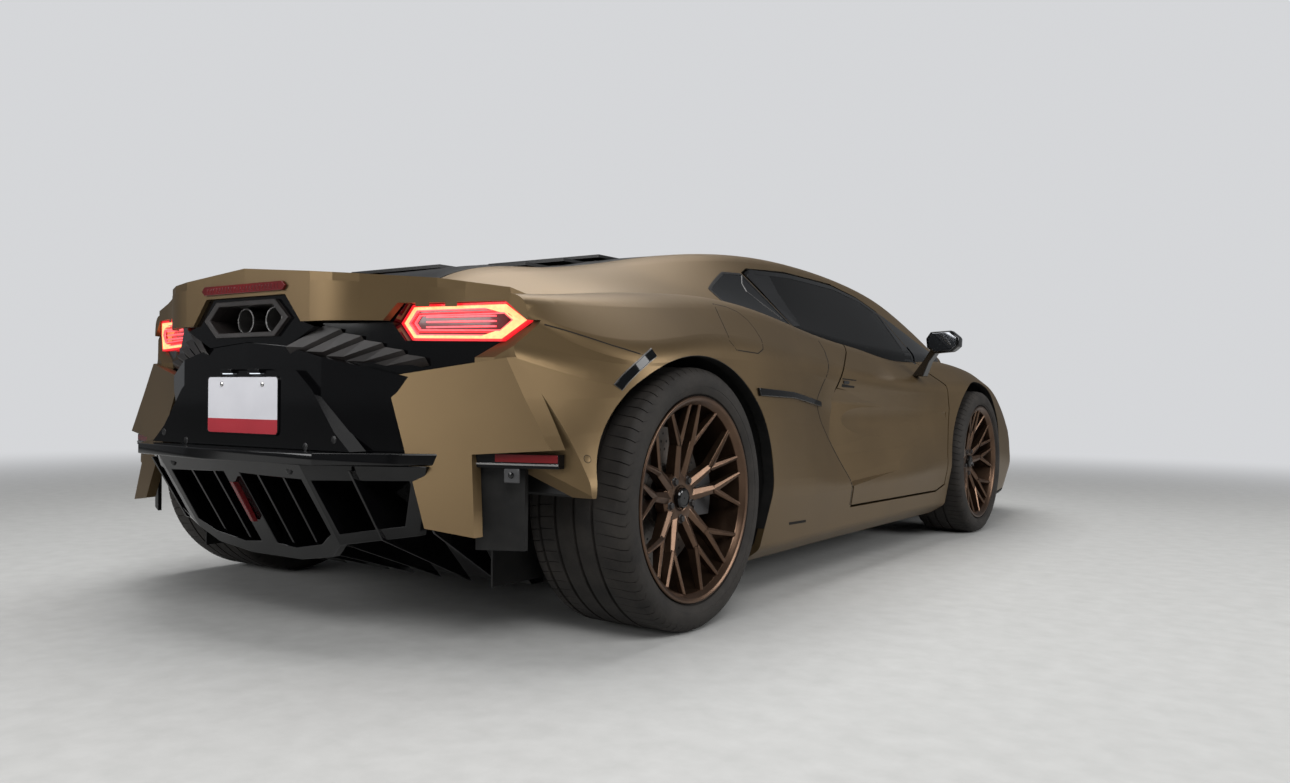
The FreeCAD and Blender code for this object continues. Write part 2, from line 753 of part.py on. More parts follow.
def rim(centre, wide, rim_radius):
    half = wide / 2
    lip_x = half - 10
    face_x = lip_x - 52
    profile = [
        (-half + 14, rim_radius + rim_lip), (-half + 22, rim_radius + rim_lip),
        (-half + 26, rim_radius - 0.5), (half - 26, rim_radius - 0.5),
        (half - 22, rim_radius + rim_lip), (half - 10, rim_radius + rim_lip),
        (half - 10, rim_radius + rim_lip - 8), (half - 20, rim_radius - 14),
        (-half + 24, rim_radius - 14), (-half + 14, rim_radius + rim_lip - 10),
    ]
    points = [V(x, 0, r) for x, r in profile]
    body = polygon_face(points).revolve(V(0, 0, 0), V(1, 0, 0), 360)
    hub = Part.makeCylinder(78, 46, V(face_x - 46, 0, 0), V(1, 0, 0))
    body = body.fuse(hub)
    for group in range(5):
        base_angle = group * 72
        for side in (-1, 1):
            split = rim_radius * 0.62
            near = rim_radius - 10
            arms = (
                (60, 9, split, 14, face_x, face_x + 16, 34, 26, 40, 34),
                (split - 8, 14, near, 8, face_x + 15, lip_x - 10, 24, 15, 32, 24),
                (split - 8, 14, near, 25, face_x + 15, lip_x - 10, 24, 15, 32, 24),
            )
            for r0, a0, r1, a1, *sizes in arms:
                body = body.fuse(spoke(r0, base_angle + side * a0, r1, base_angle + side * a1, *sizes))
    body = body.cut(Part.makeCylinder(spindle + pin_clearance, 36, V(face_x - 47, 0, 0), V(1, 0, 0)))
    body.translate(centre)
    return body


spindle = 24.0


def hub_back(centre, wide):
    """Where a rim's hub ends inboard."""
    return centre.x + wide / 2 - 10 - 52 - 46


def disc(centre, wide, disc_radius):
    back = hub_back(centre, wide)
    plate = Part.makeCylinder(disc_radius, disc_thickness, V(back - 54, centre.y, centre.z), V(1, 0, 0))
    hat = Part.makeCylinder(92, 54, V(back - 54, centre.y, centre.z), V(1, 0, 0))
    hole = Part.makeCylinder(spindle + 40, 60, V(back - 56, centre.y, centre.z), V(1, 0, 0))
    return plate.fuse(hat).cut(hole)


def knuckle(centre, wide, disc_radius, side):
    back = hub_back(centre, wide)
    inboard = back - 54
    c = V(inboard, centre.y, centre.z)
    carrier = Part.makeCylinder(58, 46, c - V(50, 0, 0), V(1, 0, 0))
    shaft = Part.makeCylinder(spindle, 104, c - V(20, 0, 0), V(1, 0, 0))
    upright = box(c.x - 50, c.x - 16, c.y - 34, c.y + 34, c.z - 130, c.z + 130)
    body = carrier.fuse(shaft).fuse(upright)
    reach = disc_radius + 14
    along = V(1, 0, 0)
    y_ends = sorted((c.y + side * 95, c.y + side * (reach + 40)))
    block = box(c.x - 30, c.x + disc_thickness + 30, *y_ends, c.z - 62, c.z + 62)
    ring = Part.makeCylinder(reach, 200, c - along * 60, along)
    ring = ring.cut(Part.makeCylinder(disc_radius - 70, 200, c - along * 60, along))
    slot = Part.makeCylinder(disc_radius + 6, disc_thickness + 12, c - along * 6, along)
    caliper = block.common(ring).cut(slot)
    arm_ends = sorted((c.y, c.y + side * (disc_radius - 30)))
    arm = box(c.x - 46, c.x - 20, *arm_ends, c.z - 24, c.z + 24)
    return body.fuse(caliper).fuse(arm)


front_centre = V(front_track / 2, front_axle, front_tyre_radius)
rear_centre = V(rear_track / 2, rear_axle, rear_tyre_radius)
front_tyre = tyre(front_centre, front_tyre_width, front_tyre_radius, front_rim_radius)
rear_tyre = tyre(rear_centre, rear_tyre_width, rear_tyre_radius, rear_rim_radius)
front_rim = rim(front_centre, front_tyre_width, front_rim_radius)
rear_rim = rim(rear_centre, rear_tyre_width, rear_rim_radius)
front_disc = disc(front_centre, front_tyre_width, front_disc_radius)
rear_disc = disc(rear_centre, rear_tyre_width, rear_disc_radius)
for name, shape in (
    ("tyre_front", front_tyre), ("tyre_rear", rear_tyre), ("rim_front", front_rim),
    ("rim_rear", rear_rim), ("disc_front", front_disc), ("disc_rear", rear_disc),
):
    save(f"{name}_left", shape)
    save(f"{name}_right", mirror(shape))

# Uprights and wishbones: the front uprights turn on two short kingpins held by the arms
front_knuckle = knuckle(front_centre, front_tyre_width, front_disc_radius, 1)
rear_knuckle = knuckle(rear_centre, rear_tyre_width, rear_disc_radius, -1)
kingpin_x = hub_back(front_centre, front_tyre_width) - 54 - 33
kingpin = 11.0
for level in (front_tyre_radius + 90, front_tyre_radius - 140):
    socket = Part.makeCylinder(kingpin + pin_clearance, 50, V(kingpin_x, front_axle, level), V(0, 0, 1))
    front_knuckle = front_knuckle.cut(socket)
save("knuckle_front_left", front_knuckle)
save("knuckle_front_right", mirror(front_knuckle))
save("knuckles_rear", both(rear_knuckle))
arms = []
for level, out in ((front_tyre_radius + 150, -1), (front_tyre_radius - 150, 1)):
    pin = Part.makeCylinder(kingpin, 50, V(kingpin_x, front_axle, level), V(0, 0, out))
    eye = Part.makeCylinder(22, 16, V(kingpin_x, front_axle, level - 8 - out * 4), V(0, 0, 1))
    arm = pin.fuse(eye)
    tip = V(kingpin_x, front_axle, level - out * 4)
    for dy in (-150, 150):
        arm = arm.fuse(bar(tip, V(front_well_inner - 40, front_axle + dy, tip.z), 9))
    arms.append(arm)
for level in (rear_tyre_radius + 100, rear_tyre_radius - 100):
    x = hub_back(rear_centre, rear_tyre_width) - 54 - 50
    arm = None
    for dy in (-170, 170):
        spread = 20 if dy > 0 else -20
        rod = bar(V(x, rear_axle + spread, level), V(rear_well_inner - 60, rear_axle + dy, level), 11)
        arm = rod if arm is None else arm.fuse(rod)
    arms.append(arm)
wishbones = Part.makeCompound(arms)
liner_pair = Part.makeCompound(liners).cut(wishbones)
save("wheel_liners", both(liner_pair))
arms = [arm.cut(tub).cut(rear_knuckle) for arm in arms]
save("wishbones", both(Part.makeCompound([biggest(arm) for arm in arms])))

# Headlamps and grilles fill their openings in the bumper
headlamp = left_outer.common(headlamp_block).cut(left_inner)
save("headlamps", both(biggest(headlamp)))
deep = body_form(skin + grille_thickness)
grille_side = left_inner.common(prism_y(SIDE_INTAKE, nose + 40, nose + 420)).cut(deep).cut(under_block)
grille_centre = left_inner.common(prism_y(CENTRE_INTAKE, nose + 10, nose + 300)).cut(deep)
grilles = Part.makeCompound([biggest(grille_side), mirror(biggest(grille_side)), whole(grille_centre)])
save("front_grilles", grilles)

# Splitter under the nose
splitter = under.common(box(-1, far, nose - 10, splitter_seam, 0, base))
save("front_splitter", whole(splitter))

# Corner panels: flat plates from the lamps down, flush with the flanks, open to the wheel
corner_panel_thickness = 30.0
corner_slope = (-0.299, -0.1573)


def corner_y(x, z):
    return tail - 317 + (x - 773) * corner_slope[0] + (z - 734) * corner_slope[1]


CORNER_PANEL = [(833, 743), (451, 685), (605, 316), (735, 300), (704, 497), (972, 516)]
back_ring = [V(x, corner_y(x, z), z) for x, z in CORNER_PANEL]
corner_plate = polygon_face(back_ring).extrude(V(0, -corner_panel_thickness, 0))
corner_panel = biggest(corner_plate.common(full_form).cut(quarter))
save("corner_panels", both(corner_panel))

# Rear fascia: a black wall behind the louvres, with the bezel round the exhaust
fascia_line = [(0, tail - 148), (275, tail - 166), (553, tail - 263), (760, tail - 352)]
fascia_thickness = 36.0
fascia_plan = fascia_line + [(x, y - fascia_thickness) for x, y in reversed(fascia_line)]
exhaust_outer = [(0, 790), (128, 790), (184, 838), (128, 888), (0, 888)]
exhaust_inner = [(-1, 802), (118, 802), (160, 838), (118, 876), (-1, 876)]
bezel_outline = [(0, 897), (171, 897), (238, 823), (275, 812), (171, 764), (0, 778)]
pipe = prism_y(exhaust_outer, tail - 330, tail - 122).cut(prism_y(exhaust_inner, tail - 310, tail))
wall = prism_z(fascia_plan, 500, 872).common(inner)
bezel = prism_y(bezel_outline, tail - 190, tail - 132)
fascia = wall.fuse(bezel).cut(lamp_block).cut(prism_y(exhaust_outer, tail - 460, tail)).cut(quarter)
fascia = fascia.cut(clear_rear).cut(corner_panel)
save("rear_fascia", whole(biggest(fascia)))
save("exhaust", whole(pipe))
lamp_slab = prism_z([
    (440, tail - 249), (750, tail - 329), (806, tail - 365),
    (806, tail - 425), (750, tail - 385), (440, tail - 307),
], 700, 900)
lamp = lamp_block.common(lamp_slab)
save("tail_lamps", both(lamp))

# Louvres: sloping slats each side of the exhaust, stepping up outward
louvre_count = 5
louvre_step = V(0, 5, 9)
louvre_thickness = V(0, -16, -20)
louvre_top = (V(275, tail - 158, 815), V(553, tail - 255, 724))
louvre_low = (V(175, tail - 118, 762), V(437, tail - 228, 702))


def louvre_end(t, lift):
    """A planar end of a slat at t along the row."""
    top = louvre_top[0] + (louvre_top[1] - louvre_top[0]) * t + lift
    low = louvre_low[0] + (louvre_low[1] - louvre_low[0]) * t + lift
    return [top, low, low + louvre_thickness, top + louvre_thickness]


slats = []
for i in range(louvre_count):
    start = (i + 0.05) / louvre_count
    end = (i + 0.97) / louvre_count
    slat = hull_of(louvre_end(start, V(0, 0, 0)), louvre_end(end, louvre_step))
    slats.append(slat.cut(fascia).cut(corner_panel))
save("rear_louvres", both(Part.makeCompound([biggest(slat) for slat in slats])))

# Lower bumper with its plate housing, ledge, plate
bumper_plan = prism_z([
    (0, tail - 131), (300, tail - 135), (488, tail - 218),
    (620, tail - 290), (620, tail - 345), (0, tail - 300),
], 497, 790)
bumper_face = prism_y([(-1, 776), (171, 762), (437, 702), (640, 655), (640, 497), (-1, 497)], tail - 400, tail)
housing = prism_y([(0, 700), (222, 700), (286, 650), (372, 545), (430, 498), (0, 498)], tail - 170, tail - 118)
bumper_rear = bumper_plan.common(bumper_face).fuse(housing)
for neighbour in (fascia, Part.makeCompound(slats), corner_panel, quarter, clear_rear):
    bumper_rear = bumper_rear.cut(neighbour)
save("rear_bumper", whole(biggest(bumper_rear)))
ledge = prism_z([
    (0, tail), (380, tail - 45), (640, tail - 205), (640, tail - 320), (0, tail - 330),
], 466, 497).cut(corner_panel)
save("rear_ledge", whole(biggest(ledge)))
plate = box(-152.5, 152.5, tail - 118, tail - 114, 533, 683)
for x in (-89, 89):
    plate = plate.cut(Part.makeCylinder(plate_screw, 10, V(x, tail - 120, 664), V(0, 1, 0)))
save("number_plate", plate)

# Boards and marker lamps in the corner cavities
board = prism_z([(690, tail - 290), (800, tail - 345), (800, tail - 357), (690, tail - 302)], 262, 470)
blade = prism_z([(640, tail - 250), (905, tail - 345), (905, tail - 365), (700, tail - 310)], 466, 500)
board = board.cut(corner_panel).cut(clear_rear).cut(quarter)
blade = blade.cut(corner_panel).cut(ledge).cut(board).cut(quarter)
save("corner_boards", both(biggest(board)))
save("corner_markers", both(biggest(blade)))

# Diffuser: a rising plate, fins, and a sloping rear face with open tunnels
diffuser_half = 600.0
face_slope = 0.6
face_thickness = 26.0
face_foot = tail - 223
DIFFUSER_OUTLINE = [(0, 466), (650, 466), (675, 460), (550, 282), (308, 248), (247, 211), (110, 190), (0, 190)]
TUNNELS = [
    [(34, 232), (112, 226), (232, 246), (292, 280), (286, 424), (34, 430)],
    [(326, 282), (524, 312), (596, 428), (320, 424)],
]
ramp = prism_x([
    (diffuser_seam, floor_z), (diffuser_seam, base), (tail - 190, 466),
    (tail - 120, 466), (tail - 120, 446), (tail - 620, floor_z),
], 0, diffuser_half)


def face_line(z, back=0.0):
    return (face_foot + (z - 200) * face_slope - back, z)


face_profile = [face_line(150), face_line(466), face_line(466, face_thickness), face_line(150, face_thickness)]
slab = prism_x(face_profile, -1, 700)
rear_face = prism_y(DIFFUSER_OUTLINE, tail - 460, tail).common(slab)
for tunnel in TUNNELS:
    rear_face = rear_face.cut(prism_y(tunnel, tail - 460, tail))
fins = []
for x, low in ((310, 252), (548, 286)):
    fins.append(prism_x([
        (diffuser_seam + 60, floor_z), face_line(low, 8), face_line(452, 8), (tail - 200, 462),
    ], x - 6, x + 6))
diffuser = ramp.fuse(rear_face)
for fin in fins:
    diffuser = diffuser.fuse(fin)
diffuser = diffuser.cut(corner_panel).cut(board).cut(clear_rear).cut(ledge)
save("diffuser", whole(biggest(diffuser)))

# Spoiler lip on the deck's rear edge
lip_heights = (974, 946, 932, 905)
lip_low = 860.0
lip_depth = 230.0


def lip_height(x):
    """The lip's top edge, in straight runs between the plan's corners."""
    for (x0, _), (x1, _), z0, z1 in zip(TAIL_PLAN, TAIL_PLAN[1:], lip_heights, lip_heights[1:]):
        if x <= x1:
            return z0 + (z1 - z0) * (x - x0) / (x1 - x0)
    return lip_heights[-1]


rounded = [point for arc in tail_arcs(1) for point in arc]
lip_points = [V(0, TAIL_PLAN[0][1] - 1, 0)] + rounded + [V(TAIL_PLAN[3][0], TAIL_PLAN[3][1] - 1, 0)]
triangles = []
for point in lip_points:
    x, y = point.x, point.y
    z = lip_height(x)
    triangles.append(Part.makePolygon([V(x, y, z), V(x, y, lip_low), V(x, y - lip_depth, lip_low), V(x, y, z)]))
lip = Part.makeLoft(triangles, True, True).cut(outer)
save("tail_spoiler", whole(biggest(lip)))
third_lamp = box(-182, 182, tail - 119, tail - 111, 908, 932)
save("brake_lamp", third_lamp.cut(lip).cut(outer).cut(mirror(lip)))

# Mirrors on the doors
mirror_head = hull_of(
    [V(965, -375, 835), V(1105, -375, 845), V(1114, -375, 925), V(968, -375, 930)],
    [V(990, -495, 850), V(1080, -495, 858), V(1085, -495, 905), V(995, -495, 910)])
mirror_head = mirror_head.cut(box(1048, 1060, -520, -360, 858, 900))
mirror_head.translate(V(0, door_middle, 0))
stalk = hull_of(
    [V(935, -500, 740), V(935, -430, 740), V(885, -430, 740), V(885, -500, 740)],
    [V(1010, -470, 872), V(1010, -400, 872), V(975, -400, 872), V(975, -470, 872)])
stalk.translate(V(0, door_middle, 0))
mirror_left = mirror_head.fuse(stalk).cut(door_left)
save("mirror_left", biggest(mirror_left))
save("mirror_right", mirror(biggest(mirror_left)))

# Engine block, seats, dashboard, steering wheel
engine = box(-340, 340, door_middle + 760, door_middle + 1420, base + 30, 780)
save("engine_block", engine)
seat_x = 372.0
seat_profile = [
    (-330, 170), (-350, 330), (-250, 350), (60, 300), (150, 330), (300, 780),
    (330, 900), (400, 900), (420, 780),
    (330, 420), (200, base), (-250, base),
]
seat = prism_x([(door_middle + y, z) for y, z in seat_profile], seat_x - 235, seat_x + 235)
save("seats", both(seat))
dash = prism_x([(door_middle + y, z) for y, z in (
    (-717, 540), (-717, 742), (-600, 770), (-500, 735), (-470, 660), (-560, 540))], -690, 690)
wheel_x = seat_x
column_radius = 26.0
column_length = 175.0
column_gap = 0.5
wheel_ring = Part.makeTorus(172, 15, V(0, 0, 0), V(0, 0, 1))
wheel_hub = Part.makeCylinder(55, 34, V(0, 0, -17), V(0, 0, 1))
column = Part.makeCylinder(column_radius, column_length, V(0, 0, -column_length), V(0, 0, 1))
bore = Part.makeCylinder(column_radius + column_gap, column_length, V(0, 0, -column_length - 4), V(0, 0, 1))
wheel_all = wheel_ring.fuse(wheel_hub)
for angle in (0, 90, 180):
    t = math.radians(angle)
    outward = V(math.cos(t), math.sin(t), 0)
    wheel_all = wheel_all.fuse(bar(outward * 40, outward * 170, 10))
wheel_all = wheel_all.fuse(column)
for piece in (wheel_all, bore):
    piece.rotate(V(0, 0, 0), V(1, 0, 0), -68)
    piece.translate(V(wheel_x, door_middle - 360, 690))
save("dashboard", dash.cut(bore))
save("steering_wheel", wheel_all)
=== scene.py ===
import json
from math import copysign, cos, dist, pi, radians, sin

import bmesh
import bpy
from mathutils import Matrix, Vector
from mathutils.bvhtree import BVHTree


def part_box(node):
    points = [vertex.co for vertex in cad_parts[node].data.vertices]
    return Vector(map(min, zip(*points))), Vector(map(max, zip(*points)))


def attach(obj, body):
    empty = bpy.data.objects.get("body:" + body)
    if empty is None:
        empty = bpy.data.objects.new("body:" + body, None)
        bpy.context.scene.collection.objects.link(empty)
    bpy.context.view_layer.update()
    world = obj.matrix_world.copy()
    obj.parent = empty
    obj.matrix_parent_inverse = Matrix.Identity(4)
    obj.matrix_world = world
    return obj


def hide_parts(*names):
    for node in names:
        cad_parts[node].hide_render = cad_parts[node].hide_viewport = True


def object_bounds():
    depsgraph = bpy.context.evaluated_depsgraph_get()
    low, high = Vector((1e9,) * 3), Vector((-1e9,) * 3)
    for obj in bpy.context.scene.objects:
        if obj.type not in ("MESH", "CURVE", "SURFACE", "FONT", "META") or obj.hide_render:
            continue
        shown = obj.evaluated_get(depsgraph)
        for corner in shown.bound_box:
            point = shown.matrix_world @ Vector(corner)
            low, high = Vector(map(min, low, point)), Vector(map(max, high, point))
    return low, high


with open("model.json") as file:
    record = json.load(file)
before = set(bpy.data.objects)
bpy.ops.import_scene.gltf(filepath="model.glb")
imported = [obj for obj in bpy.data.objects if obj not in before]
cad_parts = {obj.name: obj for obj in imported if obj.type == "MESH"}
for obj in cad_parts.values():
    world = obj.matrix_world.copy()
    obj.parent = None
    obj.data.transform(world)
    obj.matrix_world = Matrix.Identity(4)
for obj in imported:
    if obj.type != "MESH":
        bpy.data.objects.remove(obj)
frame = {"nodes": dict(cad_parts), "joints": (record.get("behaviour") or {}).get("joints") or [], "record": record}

scene = bpy.context.scene
cad_low, cad_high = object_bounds()
nodes = frame["nodes"]


# Shader helpers
finishes = {}


def new_material(name):
    mat = bpy.data.materials.new(name)
    mat.use_nodes = True
    finishes[name] = mat
    return mat.node_tree, mat.node_tree.nodes["Principled BSDF"]


def connect(tree, node, inputs):
    """Sets a node's inputs to plain values or to the outputs of other nodes."""
    for name, value in inputs.items():
        if isinstance(value, bpy.types.NodeSocket):
            tree.links.new(value, node.inputs[name])
        else:
            node.inputs[name].default_value = value


def add_node(tree, kind, inputs, output):
    """Adds a shader node and gives one of its outputs."""
    node = tree.nodes.new("ShaderNode" + kind)
    connect(tree, node, inputs)
    return node.outputs[output]


def mixed_shader(tree, share, first, second):
    """A mix of two shaders, sent to the tree's output."""
    mix = tree.nodes.new("ShaderNodeMixShader")
    for socket, value in zip(mix.inputs, (share, first, second)):
        tree.links.new(value, socket)
    last = next(node for node in tree.nodes if node.type in ("OUTPUT_MATERIAL", "OUTPUT_WORLD"))
    tree.links.new(mix.outputs["Shader"], last.inputs["Surface"])


def noise(tree, scale, detail=4.0, rough=0.55):
    """A noise over object coordinates."""
    coords = add_node(tree, "TexCoord", {}, "Object")
    settings = {"Vector": coords, "Scale": scale, "Detail": detail, "Roughness": rough}
    return add_node(tree, "TexNoise", settings, "Fac")


def ramp(tree, source, dark, light, low=0.3, high=0.7):
    """A colour that runs from dark to light as the source rises."""
    colour = add_node(tree, "ValToRGB", {"Fac": source}, "Color")
    for element, position, shade in zip(colour.node.color_ramp.elements, (low, high), (dark, light)):
        element.position = position
        element.color = (*shade, 1)
    return colour


def spread(tree, source, low, high):
    """Maps a 0 to 1 value onto low to high."""
    return add_node(tree, "MapRange", {"Value": source, "To Min": low, "To Max": high}, "Result")


def bump(tree, source, strength, distance):
    return add_node(tree, "Bump", {"Height": source, "Strength": strength, "Distance": distance}, "Normal")


def surface(name, dark, light, rough, metallic=0.0, scale=60.0, grain=0.1, depth=0.0002, coat=0.0,
            shine=0.5):
    """A finish whose colour and roughness drift over the surface, with a fine grain."""
    tree, shader = new_material(name)
    fine = noise(tree, scale, 6.0, 0.6)
    connect(tree, shader, {
        "Base Color": ramp(tree, noise(tree, scale * 0.08, 3.0), dark, light),
        "Roughness": spread(tree, fine, *rough),
        "Metallic": metallic,
        "Coat Weight": coat,
        "Specular IOR Level": shine,
    })
    if grain:
        connect(tree, shader, {"Normal": bump(tree, fine, grain, depth)})
    return tree, shader


def glow(name, colour, strength):
    """A lit lens, slightly uneven."""
    tree, shader = new_material(name)
    dim = [c * 0.8 for c in colour]
    connect(tree, shader, {
        "Emission Color": ramp(tree, noise(tree, 90.0, 2.0), dim, colour, 0.35, 0.65),
        "Base Color": (*[c * 0.4 for c in colour], 1),
        "Emission Strength": strength,
        "Roughness": 0.25,
    })


def clear(name, tint, rough):
    """Tinted clear glass: mostly see-through, with a sharp reflection."""
    tree, shader = new_material(name)
    tree.nodes.remove(shader)
    see_through = add_node(tree, "BsdfTransparent", {"Color": (*tint, 1)}, "BSDF")
    uneven = spread(tree, noise(tree, 25.0, 2.0), rough, rough * 1.5)
    gloss = add_node(tree, "BsdfGlossy", {"Roughness": uneven}, "BSDF")
    mixed_shader(tree, add_node(tree, "Fresnel", {"IOR": 1.35}, "Fac"), see_through, gloss)


def matte_metal(name, dark, light):
    """Matte metallic paint: a soft sheen with fine flakes."""
    tree, shader = new_material(name)
    drift = noise(tree, 2.2)
    connect(tree, shader, {
        "Base Color": ramp(tree, drift, dark, light),
        "Roughness": spread(tree, drift, 0.38, 0.46),
        "Metallic": 0.78,
        "Normal": bump(tree, noise(tree, 2600.0, 2.0, 0.5), 0.06, 0.0002),
    })


def perforated(name, dark, light):
    """Leather with rows of small holes."""
    tree, shader = surface(name, dark, light, (0.42, 0.56), 0.0, 420, 0.0)
    coords = add_node(tree, "TexCoord", {}, "Object")
    holes = add_node(tree, "TexVoronoi", {"Vector": coords, "Scale": 160.0, "Randomness": 0.1}, "Distance")
    connect(tree, shader, {"Normal": bump(tree, holes, 0.35, 0.0008)})


matte_metal("bronze_paint", (0.128, 0.086, 0.042), (0.154, 0.104, 0.051))
surface("trim_black", (0.006, 0.006, 0.006), (0.011, 0.0105, 0.010), (0.42, 0.62), 0.0, 300, 0.25,
        shine=0.25)
surface("gloss_black", (0.0015, 0.0015, 0.0018), (0.003, 0.003, 0.0034), (0.05, 0.11), 0.0, 40, 0.0,
        shine=0.42)
surface("satin_black", (0.006, 0.006, 0.0065), (0.011, 0.0105, 0.0105), (0.28, 0.38), 0.0, 240, shine=0.3)
# Flat black for real black parts such as wiper rubbers and seat belts, and for painted shade laid as dark strips
# and discs in panel gaps, slots, recesses and deep in the exhaust pipes.
surface("black_parts_and_painted_gap_shade", (0.003, 0.0025, 0.0025), (0.005, 0.0045, 0.004), (0.6, 0.8), 0.0, 240, shine=0.2)
surface("vent_dark", (0.013, 0.011, 0.0105), (0.023, 0.019, 0.018), (0.36, 0.48), 0.0, 260, 0.2, shine=0.35)
clear("window_glass", (0.46, 0.50, 0.49), 0.02)
surface("dark_glass", (0.002, 0.0024, 0.003), (0.004, 0.0045, 0.005), (0.03, 0.07), 0.0, 30, 0.0,
        shine=0.35)
surface("lamp_bowl", (0.080, 0.003, 0.004), (0.130, 0.005, 0.006), (0.06, 0.14), 0.0, 60, 0.0, coat=0.6)
surface("lens_red", (0.090, 0.004, 0.005), (0.140, 0.006, 0.008), (0.08, 0.16), 0.0, 80, 0.05, coat=0.3)
glow("lamp_rim_red", (1.0, 0.02, 0.03), 1.0)
glow("lamp_pink", (1.0, 0.10, 0.12), 1.7)
glow("lamp_orange", (1.0, 0.34, 0.14), 2.4)
glow("lamp_white", (0.85, 0.92, 1.0), 1.3)
glow("screen_teal", (0.10, 0.42, 0.40), 0.7)
surface("plate_white", (0.62, 0.62, 0.66), (0.70, 0.70, 0.74), (0.30, 0.42), 0.0, 90, 0.08)
surface("plate_red", (0.36, 0.010, 0.022), (0.42, 0.014, 0.028), (0.30, 0.42), 0.0, 90, 0.08)
surface("tyre_rubber", (0.011, 0.0095, 0.0085), (0.024, 0.0205, 0.0175), (0.62, 0.85), 0.0, 180, 0.35,
        0.0004, shine=0.3)
surface("rim_bronze", (0.082, 0.049, 0.032), (0.118, 0.072, 0.047), (0.24, 0.36), 0.9, 160, 0.05)
surface("disc_iron", (0.10, 0.095, 0.09), (0.17, 0.16, 0.15), (0.28, 0.42), 0.9, 220, 0.15)
surface("forged_grey", (0.060, 0.060, 0.062), (0.100, 0.100, 0.103), (0.35, 0.5), 0.7, 140, 0.15)
surface("bright_metal", (0.42, 0.41, 0.40), (0.52, 0.51, 0.50), (0.16, 0.28), 0.95, 160, 0.04)
surface("mirror_silver", (0.30, 0.31, 0.33), (0.34, 0.35, 0.37), (0.02, 0.05), 1.0, 40, 0.0)
perforated("seat_leather", (0.014, 0.012, 0.011), (0.026, 0.023, 0.021))
surface("seat_bronze", (0.110, 0.064, 0.034), (0.140, 0.084, 0.046), (0.42, 0.55), 0.0, 420, 0.5, 0.0005)
surface("wheel_leather", (0.012, 0.011, 0.010), (0.020, 0.018, 0.017), (0.45, 0.6), 0.0, 420, 0.5)

# The finish of each packed material slot, and the finishes that belong to a slot of another name
slot_finish = {
    "body_paint": "bronze_paint",
    "cover_black": "satin_black",
    "lamp_glass": "dark_glass",
    "lamp_red": "lens_red",
}


def dress(name, finish):
    """Gives a CAD node its finish."""
    nodes[name].data.materials.clear()
    nodes[name].data.materials.append(finishes[finish])


for part in frame["record"]["subparts"]:
    slot = part["material_slot"]
    dress(part["node"], slot_finish.get(slot, slot))
dress("side_lights", "dark_glass")
dress("corner_markers", "gloss_black")


# Places taken from the frame: joints and the ends of the car
MM = 0.001
joint_place = {joint["name"]: Vector(joint["pos_m"]) / MM for joint in frame["joints"]}
rear_hub = joint_place["wheel_rear_left_spin"]
front_hub = joint_place["wheel_front_left_spin"]
tail = cad_high[1] / MM


# Mesh helpers
def add_object(name, data):
    item = bpy.data.objects.new(name, data)
    scene.collection.objects.link(item)
    return item


def turns(count):
    """Angles spaced evenly round a full turn."""
    return [2 * pi * k / count for k in range(count)]


def off_axle(centre, radius, angle, along=0.0):
    """A point at a radius from a wheel's axle."""
    return centre[0] + along, centre[1] + radius * sin(angle), centre[2] + radius * cos(angle)


